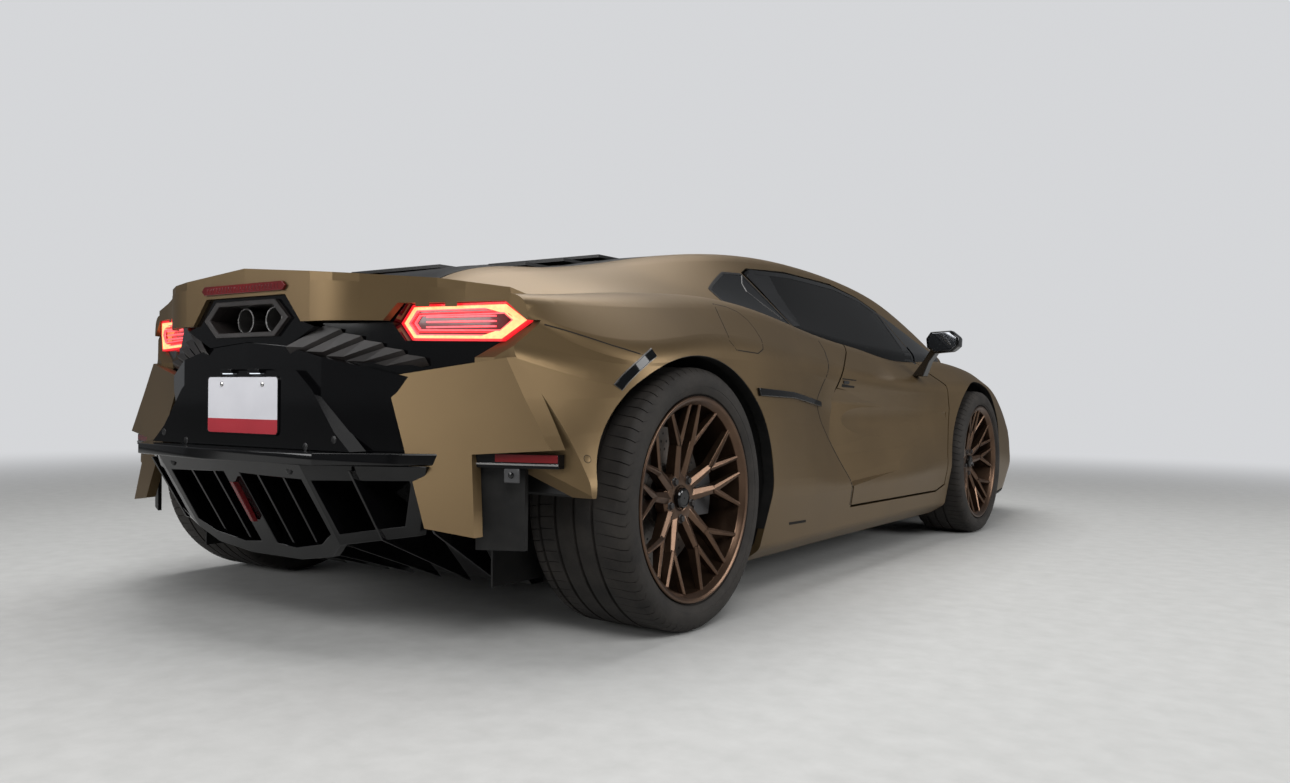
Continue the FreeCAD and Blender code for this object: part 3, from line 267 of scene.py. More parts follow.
class Form:
    """Gathers vertices and faces of one piece in millimetres, measured in the shared frame.

    The methods that add something give the form back.
    """

    def __init__(self):
        self.verts = []
        self.faces = []

    def add(self, verts, faces):
        start = len(self.verts)
        self.verts.extend([tuple(v) for v in verts])
        self.faces.extend([tuple(i + start for i in face) for face in faces])
        return self

    def between(self, rings, closed_ends=True, loop=False):
        """Skins a row of rings that have the same number of points."""
        count = len(rings[0])
        verts = [p for ring in rings for p in ring]
        faces = []
        steps = len(rings) if loop else len(rings) - 1
        for r in range(steps):
            s = (r + 1) % len(rings)
            for i in range(count):
                j = (i + 1) % count
                faces.append((r * count + i, r * count + j, s * count + j, s * count + i))
        if closed_ends and not loop:
            faces.append(tuple(range(count - 1, -1, -1)))
            faces.append(tuple((len(rings) - 1) * count + i for i in range(count)))
        return self.add(verts, faces)

    def prism(self, points, low, high, axis="y"):
        """A prism of flat points: (x, z) along y, (y, z) along x or (x, y) along z."""
        order = {"x": (2, 0, 1), "y": (0, 2, 1), "z": (0, 1, 2)}[axis]
        return self.between([[[(*p, depth)[i] for i in order] for p in points] for depth in (low, high)])

    def box(self, x0, x1, y0, y1, z0, z1):
        return self.prism([(x0, y0), (x1, y0), (x1, y1), (x0, y1)], z0, z1, "z")

    def tube(self, path, radius, sides=8, loop=False):
        """A round tube along points."""
        points = [Vector(p) for p in path]
        count = len(points)
        rings = []
        guide = None
        for i, point in enumerate(points):
            before = points[i - 1] if (i or loop) else point
            after = points[(i + 1) % count] if (i < count - 1 or loop) else point
            along = (after - before).normalized()
            if guide is None:
                guide = along.orthogonal()
            guide = (guide - along * guide.dot(along)).normalized()
            side = along.cross(guide)
            rings.append([point + (guide * cos(a) + side * sin(a)) * radius for a in turns(sides)])
        return self.between(rings, not loop, loop)

    def revolve(self, profile, centre, segments, axis="x"):
        """Turns a closed profile of (along, radius) points about an axis through the centre."""
        rings = []
        for angle in turns(segments):
            c = cos(angle)
            s = sin(angle)
            if axis == "x":
                rings.append([(centre[0] + a, centre[1] + r * s, centre[2] + r * c) for a, r in profile])
            else:
                rings.append([(centre[0] + r * s, centre[1] + a, centre[2] + r * c) for a, r in profile])
        return self.between(rings, False, True)

    def pillow(self, centre, half, lean=0.0, soft=0.42, rings=14, around=36):
        """A crowned cushion whose sides pull in towards its corners, leaning back by an angle."""
        def power(value):
            return copysign(abs(value) ** soft, value)

        rows = []
        for r in range(1, rings):
            rise = pi * (r / rings - 0.5)
            row = []
            for turn in turns(around):
                x = half[0] * power(cos(rise)) * power(cos(turn))
                y = half[1] * power(cos(rise)) * power(sin(turn))
                z = half[2] * power(sin(rise))
                row.append((centre[0] + x, centre[1] + y * cos(lean) + z * sin(lean),
                            centre[2] - y * sin(lean) + z * cos(lean)))
            rows.append(row)
        return self.between(rows)

    def mirrored(self):
        """A copy on the other side of the car."""
        other = Form()
        other.verts = [(-x, y, z) for x, y, z in self.verts]
        other.faces = [tuple(reversed(face)) for face in self.faces]
        return other

    def twin(self):
        """The form and its mirror image in one."""
        other = self.mirrored()
        return Form().add(self.verts, self.faces).add(other.verts, other.faces)


def make(name, form, finish, body="car_body", slot=None, bevel=0.0, smooth=False, replaces=()):
    """Makes a piece from a form, with rounded edges where a bevel is given in millimetres."""
    mesh = bpy.data.meshes.new(name)
    mesh.from_pydata([tuple(c * MM for c in v) for v in form.verts], [], form.faces)
    work = bmesh.new()
    work.from_mesh(mesh)
    bmesh.ops.remove_doubles(work, verts=work.verts, dist=0.00001)
    bmesh.ops.recalc_face_normals(work, faces=work.faces)
    work.to_mesh(mesh)
    work.free()
    mesh.materials.append(finishes[finish])
    piece = add_object(name, mesh)
    if bevel:
        edge = piece.modifiers.new("edges", "BEVEL")
        edge.width = bevel * MM
        edge.segments = 2
        edge.limit_method = "ANGLE"
        edge.angle_limit = radians(28)
    if smooth or bevel:
        mesh.polygons.foreach_set("use_smooth", [True] * len(mesh.polygons))
        mesh.set_sharp_from_angle(angle=radians(32))
    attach(piece, body)
    if replaces:
        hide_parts(*replaces)
    return piece


def make_on_doors(name, form, finish, swaps=None, **options):
    """Makes a piece on the left door and its mirror image on the right one."""
    for side, shape in (("left", form), ("right", form.mirrored())):
        taken = [f"{swaps}_{side}"] if swaps else ()
        make(f"{name}_{side}", shape, finish, f"door_{side}", replaces=taken, **options)


def surface_tree(*names):
    """A search tree over CAD nodes, in metres."""
    verts = []
    faces = []
    for name in names:
        mesh = nodes[name].data
        start = len(verts)
        verts.extend([v.co.copy() for v in mesh.vertices])
        faces.extend([[i + start for i in polygon.vertices] for polygon in mesh.polygons])
    return BVHTree.FromPolygons(verts, faces)


skin = surface_tree("quarter_panels", "front_fenders", "front_bumper", "door_left", "roof_frame", "bonnet",
                    "engine_cover")
glass = surface_tree("door_glass_left", "side_lights", "roof_frame", "door_left", "front_fenders")
SIDE = ((1300, None, None), (-1, 0, 0))
FRONT = ((None, -2700, None), (0, 1, 0))
REAR = ((None, 2700, None), (0, -1, 0))
ABOVE = ((None, None, 1500), (0, 0, -1))


def onto(tree, view, flat):
    """Where a flat point seen from a side of the car meets a surface, with the outward normal there."""
    start, direction = view
    given = iter(flat)
    place = [next(given) if value is None else value for value in start]
    hit, normal, _, _ = tree.ray_cast(Vector(place) * MM, Vector(direction))
    if hit is None:
        return None
    if normal.dot(Vector(direction)) > 0:
        normal = -normal
    return hit / MM, normal


def sampled(points, step, closed=False):
    """Points spaced along a flat polyline."""
    corners = list(points) + ([points[0]] if closed else [])
    placed = []
    for a, b in zip(corners, corners[1:]):
        count = max(1, round(dist(a, b) / step))
        placed += [tuple(a[i] + (b[i] - a[i]) * k / count for i in range(2)) for k in range(count)]
    if not closed:
        placed.append(corners[-1])
    return placed


def ribbon(form, points, wide, lift=0.5, view=SIDE, tree=None, closed=False, step=18.0, sunk=1.0):
    """Adds a strip laid on a surface along a flat line."""
    hits = [onto(tree or skin, view, p) for p in sampled(points, step, closed)]
    hits = [hit for hit in hits if hit is not None]
    count = len(hits)
    if count < 2:
        return form
    rings = []
    for i, (place, normal) in enumerate(hits):
        before = hits[i - 1][0] if (i or closed) else place
        after = hits[(i + 1) % count][0] if (i < count - 1 or closed) else place
        side = (after - before).cross(normal).normalized() * (wide / 2)
        rings.append([place + side + normal * lift, place - side + normal * lift,
                      place - side - normal * sunk, place + side - normal * sunk])
    return form.between(rings, not closed, closed)


def band(form, line_a, line_b, lift=0.6, view=SIDE, tree=None, steps=12, sunk=1.0):
    """A patch laid on a surface between two flat lines with the same number of corners."""
    def along(line, t):
        spot = min(t * (len(line) - 1), len(line) - 1.001)
        k = int(spot)
        share = spot - k
        return tuple(line[k][i] + (line[k + 1][i] - line[k][i]) * share for i in range(2))

    rings = []
    for s in range(steps + 1):
        a = onto(tree or skin, view, along(line_a, s / steps))
        b = onto(tree or skin, view, along(line_b, s / steps))
        if a is None or b is None:
            continue
        rings.append([a[0] + a[1] * lift, b[0] + b[1] * lift, b[0] - b[1] * sunk, a[0] - a[1] * sunk])
    return form.between(rings) if len(rings) > 1 else form


def button(form, flat, radius, lift=1.0, view=SIDE, tree=None, sides=20, sunk=2.0):
    """A round disc set on a surface."""
    found = onto(tree or skin, view, flat)
    if found is None:
        return form
    place, normal = found
    u = normal.orthogonal().normalized()
    v = normal.cross(u)
    flat_ring = [(u * cos(a) + v * sin(a)) * radius for a in turns(sides)]
    return form.between([[place + p - normal * sunk for p in flat_ring],
                         [place + p + normal * lift * 0.6 for p in flat_ring],
                         [place + p * 0.86 + normal * lift for p in flat_ring]])


# Wheels: tyres with tread, forked spokes, discs, blank caps and lug bolts
def tyre_side(wide, radius, rim_radius):
    """Half a tyre's section from the shoulder to the bead, as (along, radius)."""
    half = wide / 2
    wall = ((34, 1.5), (20, 5), (10, 13), (4, 24), (1, 34), (0, 44), (1, 52), (2.2, 53), (2.4, 56), (4, 60))
    bead = ((8, 26), (11, 22), (16, 21), (20, 17), (24, 8))
    return ([(half - inward, radius - drop) for inward, drop in wall]
            + [(half - inward, rim_radius + rise) for inward, rise in bead])


def tyre_form(centre, wide, radius, rim_radius, grooves, slit_count):
    """A tyre whose grooves run round it and whose shoulders are cut by slits."""
    half = wide / 2
    groove_half = 4.8
    groove_depth = 7.0
    slit_depth = 4.0
    tread_edge = half - 34
    crown = []
    floor_half = groove_half - 1.2
    for groove in grooves:
        for offset, deep in ((-groove_half, 0), (-floor_half, 1), (floor_half, 1), (groove_half, 0)):
            a = groove + offset
            crown.append((a, radius - 1.5 * (a / tread_edge) ** 2 - groove_depth * deep))
    side = tyre_side(wide, radius, rim_radius)
    profile = [(-a, r) for a, r in reversed(side)] + crown + side
    profile += [(half - 30, rim_radius + 6), (-half + 30, rim_radius + 6)]
    slit_start = 0.56
    shoulder_deep = 24
    rings = []
    for k in range(slit_count):
        for share, cut in ((0.0, 0), (0.45, 0), (0.90, 0), (0.915, 1), (0.975, 1), (0.99, 0)):
            angle = (k + share) * 2 * pi / slit_count
            ring = []
            for a, r in profile:
                reach = abs(a) / half
                shoulder = reach > slit_start and r > radius - shoulder_deep
                turn = angle + (max(0.0, reach - slit_start) * 0.10 if shoulder else 0.0)
                depth = slit_depth * min(1.0, (reach - slit_start) / 0.05) if shoulder and cut else 0.0
                ring.append(off_axle(centre, r - depth, turn, a))
            rings.append(ring)
    return Form().between(rings, False, True)


def spoke_arm(form, centre, start, end, faces_x, widths, depths, crease):
    """One arm of a spoke with a raised middle line, from (radius, degrees) to (radius, degrees)."""
    rings = []
    for (radius, degrees), x, wide, deep in zip((start, end), faces_x, widths, depths):
        angle = radians(degrees)
        along = Vector((0, sin(angle), cos(angle)))
        across = Vector((0, cos(angle), -sin(angle)))
        middle = Vector(centre) + along * radius + Vector((x, 0, 0))
        out = Vector((1, 0, 0))
        rings.append([
            middle - across * wide / 2 - out * crease, middle, middle + across * wide / 2 - out * crease,
            middle + across * wide * 0.42 - out * deep, middle - across * wide * 0.42 - out * deep,
        ])
    form.between(rings)


def rim_form(centre, wide, rim_radius):
    """A rim with five groups of forked double spokes."""
    half = wide / 2
    lip = half - 10
    face = lip - 52
    form = Form()
    section = []
    for start, steps in ((lip, ((0, 15), (1, 11), (-2, 3), (-9, -3), (-16, -9), (-60, -13))),
                         (-half, ((40, -13), (12, 2), (12, 15), (20, 15), (24, 3))),
                         (lip, ((-30, 3), (-12, 8), (-7, 16), (-3, 17)))):
        section += [(start + along, rim_radius + rise) for along, rise in steps]
    form.revolve(section, centre, 96)
    hub = ((44, 10), (44, 74), (16, 76), (6, 70), (3, 58), (5, 36), (9, 32), (9, 10))
    form.revolve([(face - along, r) for along, r in hub], centre, 60)
    split = rim_radius * 0.60
    near = rim_radius - 7
    for group in range(5):
        base = group * 72
        for side in (-1, 1):
            root = (48, base + side * 16)
            fork = (split, base + side * 12.5)
            fork_start = (split - 10, base + side * 12.5)
            spoke_arm(form, centre, root, fork, (face - 4, face + 16), (36, 25), (40, 34), 6)
            for tip in (5.5, 26):
                end = (near, base + side * tip)
                spoke_arm(form, centre, fork_start, end, (face + 15, lip - 10), (21, 13), (32, 22), 4)
    return form


def hub_forms(centre, wide):
    """The blank cap and five lug bolts."""
    face = wide / 2 - 62
    section = ((-10, 2), (-10, 29), (3, 29), (7, 26), (8, 22), (6.5, 20), (6.5, 2))
    cap = Form().revolve([(face + along, r) for along, r in section], centre, 40)
    section = ((-12, 1), (-12, 14), (-4, 14), (-3, 11), (3, 9.5), (4, 8), (4, 1))
    profile = [(face + along, r) for along, r in section]
    bolt_circle = 57
    bolts = Form()
    for k in range(5):
        bolts.revolve(profile, off_axle(centre, bolt_circle, radians(72 * k + 36)), 6)
    return cap, bolts


def disc_forms(centre, back, radius):
    """A brake disc on its hat, two faces with vanes between, and dark discs on its outer face painted as the shade
    inside its drillings.
    """
    disc = Form()
    for low in (back - 53.4, back - 32):
        disc.revolve([(low, 100), (low, radius), (low + 11.4, radius), (low + 11.4, 100)], centre, 96)
    vane_in = radius - 60
    vane_out = radius - 8
    vanes = ((52, vane_in), (52, vane_out), (32, vane_out), (32, vane_in))
    disc.revolve([(back - along, r) for along, r in vanes], centre, 48)
    hat = ((50, 70), (50, 108), (20, 108), (20, 92), (3, 92), (3, 70))
    disc.revolve([(back - along, r) for along, r in hat], centre, 60)
    # Thin dark discs across the disc face: painted shade in place of the drilled holes.
    holes = Form()
    face = back - 20.6
    hole = [(face - 0.5, 0.5), (face - 0.5, 4), (face + 0.4, 4), (face + 0.4, 0.5)]
    for k in range(36):
        for row in range(3):
            angle = radians(10 * k + 3.3 * row)
            holes.revolve(hole, off_axle(centre, radius - 18 - 22 * row, angle), 8)
    return disc, holes


def wheels(axle, hub, wide, radius, rim_radius, disc_radius, grooves):
    """Both wheels of an axle: the left one's forms and their mirror images."""
    centre = tuple(hub)
    cap, bolts = hub_forms(centre, wide)
    disc, holes = disc_forms(centre, wide / 2 - 108, disc_radius)
    slit_count = 72
    tyre = tyre_form(centre, wide, radius, rim_radius, grooves, slit_count)
    pieces = (
        ("tyre_tread", tyre, "tyre_rubber", "tyre", {"smooth": True}),
        ("rim_spokes", rim_form(centre, wide, rim_radius), "rim_bronze", "rim", {"bevel": 1.6}),
        ("cap", cap, "gloss_black", None, {"smooth": True}),
        ("bolts", bolts, "vent_dark", None, {"slot": "forged_grey", "bevel": 0.6}),
        ("brake", disc, "disc_iron", "disc", {"smooth": True}),
        # The drillings are painted shade: dark discs, not holes.
        ("brake_hole_shade", holes, "trim_black", None, {}),
    )
    for side in ("left", "right"):
        end = f"{axle}_{side}"
        for name, form, finish, swaps, options in pieces:
            shape = form.mirrored() if side == "right" else form
            taken = [f"{swaps}_{end}"] if swaps else ()
            make(f"{name}_{end}", shape, finish, f"wheel_{end}", replaces=taken, **options)


wheels("rear", rear_hub, 325, 362, 267, 195, (-112, -58, 2, 60))
wheels("front", front_hub, 255, 342, 254, 205, (-66, -22, 26))


# Tail lamps: a red bowl, a lit ring, thin bars and a solid outer block
LAMP_OUTLINE = [(457, 821), (490, 869), (748, 872), (801, 825), (737, 772), (490, 776)]


def lamp_face(x):
    """The lamp's rear face at x, which bends at its outer end."""
    if x < 750:
        return tail - 249 - (x - 440) * 80 / 310
    return tail - 329 - (x - 750) * 36 / 56


def inset(points, distance):
    """Moves a convex outline's sides inward by a distance."""
    middle = Vector((sum(p[0] for p in points), sum(p[1] for p in points))) / len(points)
    moved = []
    count = len(points)
    for i in range(count):
        before, here, after = (Vector(points[(i + k) % count]) for k in (-1, 0, 1))
        a = (here - before).normalized()
        b = (after - here).normalized()
        na = Vector((-a.y, a.x))
        nb = Vector((-b.y, b.x))
        if na.dot(middle - here) < 0:
            na = -na
            nb = -nb
        lean = (na + nb).normalized()
        moved.append(here + lean * (distance / max(0.4, lean.dot(na))))
    return moved


def on_lamp(points, depth):
    return [(p[0], lamp_face(p[0]) + depth, p[1]) for p in points]


def lamp_ring(form, outer, inner, back, front):
    """Adds a band between two insets of the outline, following the lamp's face."""
    a = inset(LAMP_OUTLINE, outer)
    b = inset(LAMP_OUTLINE, inner)
    rings = [on_lamp(a, back), on_lamp(a, front), on_lamp(b, front), on_lamp(b, back)]
    return form.between(rings, False, True)


def tail_lamps():
    shape = inset(LAMP_OUTLINE, 0.6)
    bowl = Form().between([on_lamp(shape, -50), on_lamp(shape, -16)])
    make("tail_lamp_bowls", bowl.twin(), "lamp_bowl", replaces=["tail_lamps"])
    rims = lamp_ring(Form(), 1.5, 7, -17, -3)
    lamp_ring(rims, 22, 25.5, -17, -6)
    make("tail_lamp_rims", rims.twin(), "lamp_rim_red")
    make("tail_lamp_rings", lamp_ring(Form(), 8, 14.5, -17, -4).twin(), "lamp_orange")
    halo = lamp_ring(Form(), 15, 18, -17, -8)
    lamp_ring(halo, 27, 30, -17, -9)
    for z in (811, 824, 837):
        rings = []
        for x in (524, 712):
            y = lamp_face(x)
            rings.append([(x, y - 17, z - 2), (x, y - 9, z - 2), (x, y - 9, z + 2), (x, y - 17, z + 2)])
        halo.between(rings)
    make("tail_lamp_bars", halo.twin(), "lamp_pink")
    far_side = inset(LAMP_OUTLINE, 15)
    near_side = inset(LAMP_OUTLINE, 26.5)
    corners = list(zip(far_side, near_side))[2:5]
    ends = [(far_side[2].lerp(far_side[1], 0.22), near_side[2].lerp(near_side[1], 0.05)), *corners,
            (far_side[4].lerp(far_side[5], 0.22), near_side[4].lerp(near_side[5], 0.05))]
    rings = [on_lamp([a], -17) + on_lamp([a, b], -5.5) + on_lamp([b], -17) for a, b in ends]
    make("tail_lamp_blocks", Form().between(rings).twin(), "lamp_orange")


tail_lamps()


# Tail furniture: plate, exhaust, third brake lamp, corner lamps, sensors, ledge and diffuser
def rounded_plate(x, z0, z1, radius, round_top=True):
    """A rectangle about x = 0 with rounded corners below and, unless told otherwise, above."""
    points = []
    for cx, cz, first in ((-x + radius, z0 + radius, 180), (x - radius, z0 + radius, 270),
                          (x - radius, z1 - radius, 0), (-x + radius, z1 - radius, 90)):
        angles = [radians(first + 22.5 * k) for k in range(5)]
        if round_top or first >= 180:
            points += [(cx + radius * cos(a), cz + radius * sin(a)) for a in angles]
        else:
            points.append((copysign(x, cx), z1))
    return points


def number_plate():
    low, high = (Vector(corner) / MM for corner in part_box("number_plate"))
    back = low.y
    face = high.y - 0.6
    band_top = low.z + 38
    plate = Form().prism(rounded_plate(high.x, low.z, high.z, 10), back, face)
    make("plate_blank", plate, "plate_white", bevel=0.5, replaces=["number_plate"])
    lower = Form().prism(rounded_plate(high.x, low.z, band_top, 10, False), face - 0.3, face + 0.5)
    make("plate_band", lower, "plate_red")
    outer = rounded_plate(high.x + 4, low.z - 4, high.z + 4, 14)
    inner = rounded_plate(high.x + 0.5, low.z - 0.5, high.z + 0.5, 10.5)
    rim = Form().between([[(x, y, z) for x, z in points] for points, y in
                          ((outer, back), (outer, face + 1), (inner, face + 1), (inner, back))], False, True)
    make("plate_frame", rim, "gloss_black", slot="trim_black", bevel=0.5)
    screws = Form()
    for x in (-89, 89):
        screws.revolve([(0, 0.5), (0, 7), (2.2, 6), (3.2, 3), (3.2, 0.5)], (x, face, 664), 18, "y")
    make("plate_screws", screws, "bright_metal", smooth=True)
    lights = Form()
    lenses = Form()
    for x in (-60, 60):
        lights.box(x - 24, x + 24, face - 4, face + 9, high.z + 10, high.z + 22)
        lenses.box(x - 18, x + 18, face - 1, face + 6, high.z + 8, high.z + 10.5)
    make("plate_light_housings", lights, "gloss_black", slot="trim_black", bevel=1.5)
    make("plate_light_lenses", lenses, "lamp_white", slot="plate_white")


def exhaust():
    outer = [(0, 790), (128, 790), (184, 838), (128, 888), (0, 888)]
    inner = [(0, 803), (117, 803), (159, 838), (117, 875), (0, 875)]
    outer = outer + [(-x, z) for x, z in reversed(outer[1:-1])]
    inner = inner + [(-x, z) for x, z in reversed(inner[1:-1])]
    rings = ((outer, 128), (outer, 120.5), (inner, 121.5), (inner, 150))
    lip = Form().between([[(x, tail - back, z) for x, z in points] for points, back in rings], False, True)
    make("exhaust_lip", lip, "vent_dark", bevel=2.0)
    for name, section, sides, finish, smooth in (
        ("exhaust_pipes", [(0, 36), (0, 32), (-110, 30), (-110, 35)], 40, "bright_metal", True),
        # A dark disc deep in each pipe: the pipe's soot, and painted shade for the depth of the pipe beyond it.
        ("exhaust_depth_shade", [(-90, 0.5), (-90, 30.5), (-94, 30.5), (-94, 0.5)], 24, "black_parts_and_painted_gap_shade", False),
    ):
        pipes = Form()
        for x in (-62, 62):
            pipes.revolve(section, (x, tail - 168, 838), sides, "y")
        make(name, pipes, finish, smooth=smooth)


def third_lamp():
    low, high = (Vector(corner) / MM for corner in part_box("brake_lamp"))
    middle = (low.z + high.z) / 2
    outline = [(high.x, middle), (high.x - 14, high.z), (low.x + 14, high.z), (low.x, middle),
               (low.x + 12, low.z), (high.x - 12, low.z)]
    lamp = Form().prism(outline, low.y, high.y)
    make("brake_lamp_lens", lamp, "lens_red", bevel=1.0, replaces=["brake_lamp"])
    ribs = Form()
    for k in range(24):
        x = -154 + k * 308 / 23
        ribs.box(x - 3.5, x + 3.5, high.y - 1, high.y + 0.8, middle - 7, middle + 6)
    make("brake_lamp_cells", ribs, "lamp_bowl", bevel=0.4)


def corner_line(x, out=0.0):
    """The rear face of the corner's lamp shelf in plan."""
    return tail - 250 - (x - 640) * 95 / 265 + out


def corner_details():
    for name, x0, x1, z0, z1, out, finish, bevel in (
        ("corner_reflectors", 752, 902, 480, 499, 1.6, "lens_red", 0.5),
        ("corner_edges", 700, 904, 473, 477.5, 4.0, "bright_metal", 0.4),
        ("corner_blades", 700, 904, 466, 473, 3.0, "gloss_black", 0.5),
        ("corner_sensors", 775, 812, 430, 465, 4.0, "forged_grey", 3.0),
    ):
        plan = [(x, corner_line(x, off)) for x, off in ((x0, out), (x1, out), (x1, -2), (x0, -2))]
        make(name, Form().prism(plan, z0, z1, "z").twin(), finish, bevel=bevel)
    lens = Form().revolve([(0, 0.5), (0, 8), (3, 7), (4, 0.5)], (793, corner_line(793, 3.4), 449), 20, "y")
    make("corner_sensor_lenses", lens.twin(), "dark_glass", smooth=True)


def swept(x):
    """How far the tail's lower face sweeps forward at x from the middle."""
    return max(0.0, x - 380) * 0.66


def diffuser_face(points, back):
    """Flat (x, z) points on the diffuser's leaning and swept rear face."""
    return [(x, tail - 223 + (z - 200) * 0.6 - swept(x) - back, z) for x, z in points]


def sensors():
    rear = surface_tree("rear_bumper")
    dots = Form()
    for flat in ((372, 526), (262, 505)):
        button(dots, flat, 10, 1.2, REAR, rear)
    rail = diffuser_face([(255, 447)], 0)[0]
    dots.revolve([(-4, 0.5), (-4, 11), (1, 10), (2, 8), (2, 0.5)], rail, 20, "y")
    make("rear_sensors", dots.twin(), "satin_black", smooth=True)
    # The dark rings round the flank sensor plugs are painted shade in the gap round each plug.
    for name, radius, lift, finish in (("flank_sensors", 9, 0.8, "bronze_paint"),
                                       ("flank_sensor_gap_shade", 10.5, 0.4, "black_parts_and_painted_gap_shade")):
        plugs = Form()
        for flat in ((1950, 490), (-1980, 470)):
            button(plugs, flat, radius, lift)
        make(name, plugs.twin(), finish, smooth=True)
    front = Form()
    for flat in ((420, 470), (720, 470)):
        button(front, flat, 9, 0.8, FRONT)
    make("front_sensors", front.twin(), "satin_black", smooth=True)


def diffuser_pieces():
    """The ledge and the diffuser, whose ends run forward under the corner panels."""
    corners = ((0, 1), (380, 45), (545, 176), (640, 252), (640, 320), (0, 330))
    plan = [(x, tail - back) for x, back in corners]
    ledge = Form().prism(plan + [(-x, y) for x, y in reversed(plan[1:-1])], 467, 496, "z")
    make("tail_ledge", ledge, "gloss_black", bevel=3.0, replaces=["rear_ledge"])
    openings = [
        ([(34, 232), (112, 226), (232, 246), (292, 280), (286, 424), (34, 430)],
         [(0, 190), (110, 190), (247, 211), (308, 250), (306, 465), (0, 465)]),
        ([(326, 282), (500, 310), (556, 428), (320, 424)],
         [(308, 250), (520, 284), (600, 465), (306, 465)]),
    ]
    low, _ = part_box("diffuser")
    front = low.y / MM
    floor = low.z / MM
    shell = Form()
    for inner, outer in openings:
        shell.between([diffuser_face(outer, 26), diffuser_face(outer, 0), diffuser_face(inner, 0),
                       diffuser_face(inner, 26)], False, True)
    sections = []
    for x in (0, 380, 590):
        end = tail - 140 - swept(x)
        flat = ((front, floor), (front, floor + 12), (end - 60, 466), (end, 466), (end, 450),
                (tail - 620, floor))
        sections.append([(x, y, z) for y, z in flat])
    shell.between(sections)
    make("diffuser_shell", shell.twin(), "gloss_black", bevel=2.0, replaces=["diffuser"])
    fins = Form()
    for x, foot in ((96, 214), (200, 222), (310, 252), (430, 270), (548, 290)):
        back = tail - 223 - swept(x) - 10
        fins.prism([(front + 120, floor + 2), (back + (foot - 200) * 0.6, foot), (back + 151, 452),
                    (back + 20, 462)], x - 4, x + 4, "x")
    make("diffuser_vanes", fins.twin(), "gloss_black", bevel=1.0)
    fin = Form()
    fin.prism([(tail - 104, 404), (tail - 84, 404), (tail - 150, 292), (tail - 164, 292)], -7, 7, "x")
    make("diffuser_centre_fin", fin, "lens_red", bevel=1.5)


def engine_pipes():
    """Hoses and covers that show between the slats and through the louvres."""
    covers = Form()
    for x in (-150, 150):
        covers.box(x - 90, x + 90, 900, 1480, 778, 800)
        for k in range(6):
            y = 940 + 96 * k
            covers.box(x - 70, x + 70, y, y + 40, 798, 812)
    make("engine_covers", covers, "satin_black", bevel=5.0)
    hoses = Form()
    for x in (-250, 250):
        hoses.tube([(x, 900, 800), (x * 0.9, 1050, 830), (x * 0.9, 1250, 830), (x, 1440, 800)], 18, 14)
    make("engine_hoses", hoses, "trim_black", smooth=True)


number_plate()
exhaust()
third_lamp()
corner_details()
sensors()
diffuser_pieces()
engine_pipes()


# Lines and trims laid on the body
def seams():
    # Dark strips along panel gaps and edges: painted shade where the gaps fall dark.
    lines = ribbon(Form(), [(2011, 824), (1926, 800), (1827, 769), (1722, 742)], 3.5, 0.25)
    ribbon(lines, [(-1490, 640), (-1500, 740)], 3.5, 0.25)
    door_edge = [(376, 252), (391, 319), (619, 613), (627, 640), (529, 748), (461, 815), (452, 868)]
    ribbon(lines, door_edge, 5.0, 0.3)
    make("body_seam_shade", lines.twin(), "black_parts_and_painted_gap_shade")
    # The fuel flap's outline is drawn the same way, as painted gap shade.
    flap = Form()
    ribbon(flap, [(1206, 926), (1138, 922), (1085, 910), (1054, 886), (1050, 856), (1062, 824), (1100, 790),
                  (1149, 775), (1290, 779), (1311, 805)], 3.2, 0.25, closed=True)
    make("fuel_flap_seam_shade", flap.mirrored(), "black_parts_and_painted_gap_shade")


def arch_lining(form, hub, first, last, wide=34.0, steps=72):
    """Adds a black strip over the cut edge of a wheel arch, found by rays out from the axle."""
    arch_reach = 0.56
    rings = []
    for k in range(steps + 1):
        angle = radians(first + (last - first) * k / steps)
        out = Vector((0, cos(angle), sin(angle)))
        for x in range(1010, 860, -3):
            edge, _, _, far_away = skin.ray_cast(Vector((x, hub.y, hub.z)) * MM, out)
            if edge is None or far_away >= arch_reach:
                continue
            edge = edge / MM
            deep = edge - Vector((wide, 0, 0))
            rings.append([edge - out * 1.6, deep - out * 1.6, deep + out * 1.0, edge + out * 1.0])
            break
    return form.between(rings)


def flank_trims():
    arches = arch_lining(Form(), rear_hub, -24, 196)
    arch_lining(arches, front_hub, -14, 188)
    make("arch_linings", arches.twin(), "trim_black")
    blade = Form()
    band(blade, [(1215, 672), (900, 660), (600, 632)], [(1205, 648), (900, 640), (592, 612)], 9, steps=16)
    make("flank_blades", blade.twin(), "gloss_black", bevel=2.0)

    def around(radius, degrees):
        angle = radians(degrees)
        return rear_hub.y + radius * cos(angle), rear_hub.z + radius * sin(angle)

    angles = (63, 58, 53, 48, 43)
    marker = band(Form(), [around(452, a) for a in angles], [around(431, a) for a in angles], 3.0, steps=8)
    make("side_markers", marker.twin(), "dark_glass", bevel=1.2)
    outline = [around(453, a) for a in angles] + [around(430, a) for a in reversed(angles)]
    marker_edge = ribbon(Form(), outline, 2.5, 1.6, closed=True)
    make("side_marker_edges", marker_edge.twin(), "disc_iron", bevel=0.5)
    # A flat dark band on the sill, painted as the shade inside a slot.
    slot = band(Form(), [(886, 238), (752, 234)], [(880, 229), (748, 225)], 0.6, steps=6)
    make("sill_slot_shade", slot.twin(), "black_parts_and_painted_gap_shade")


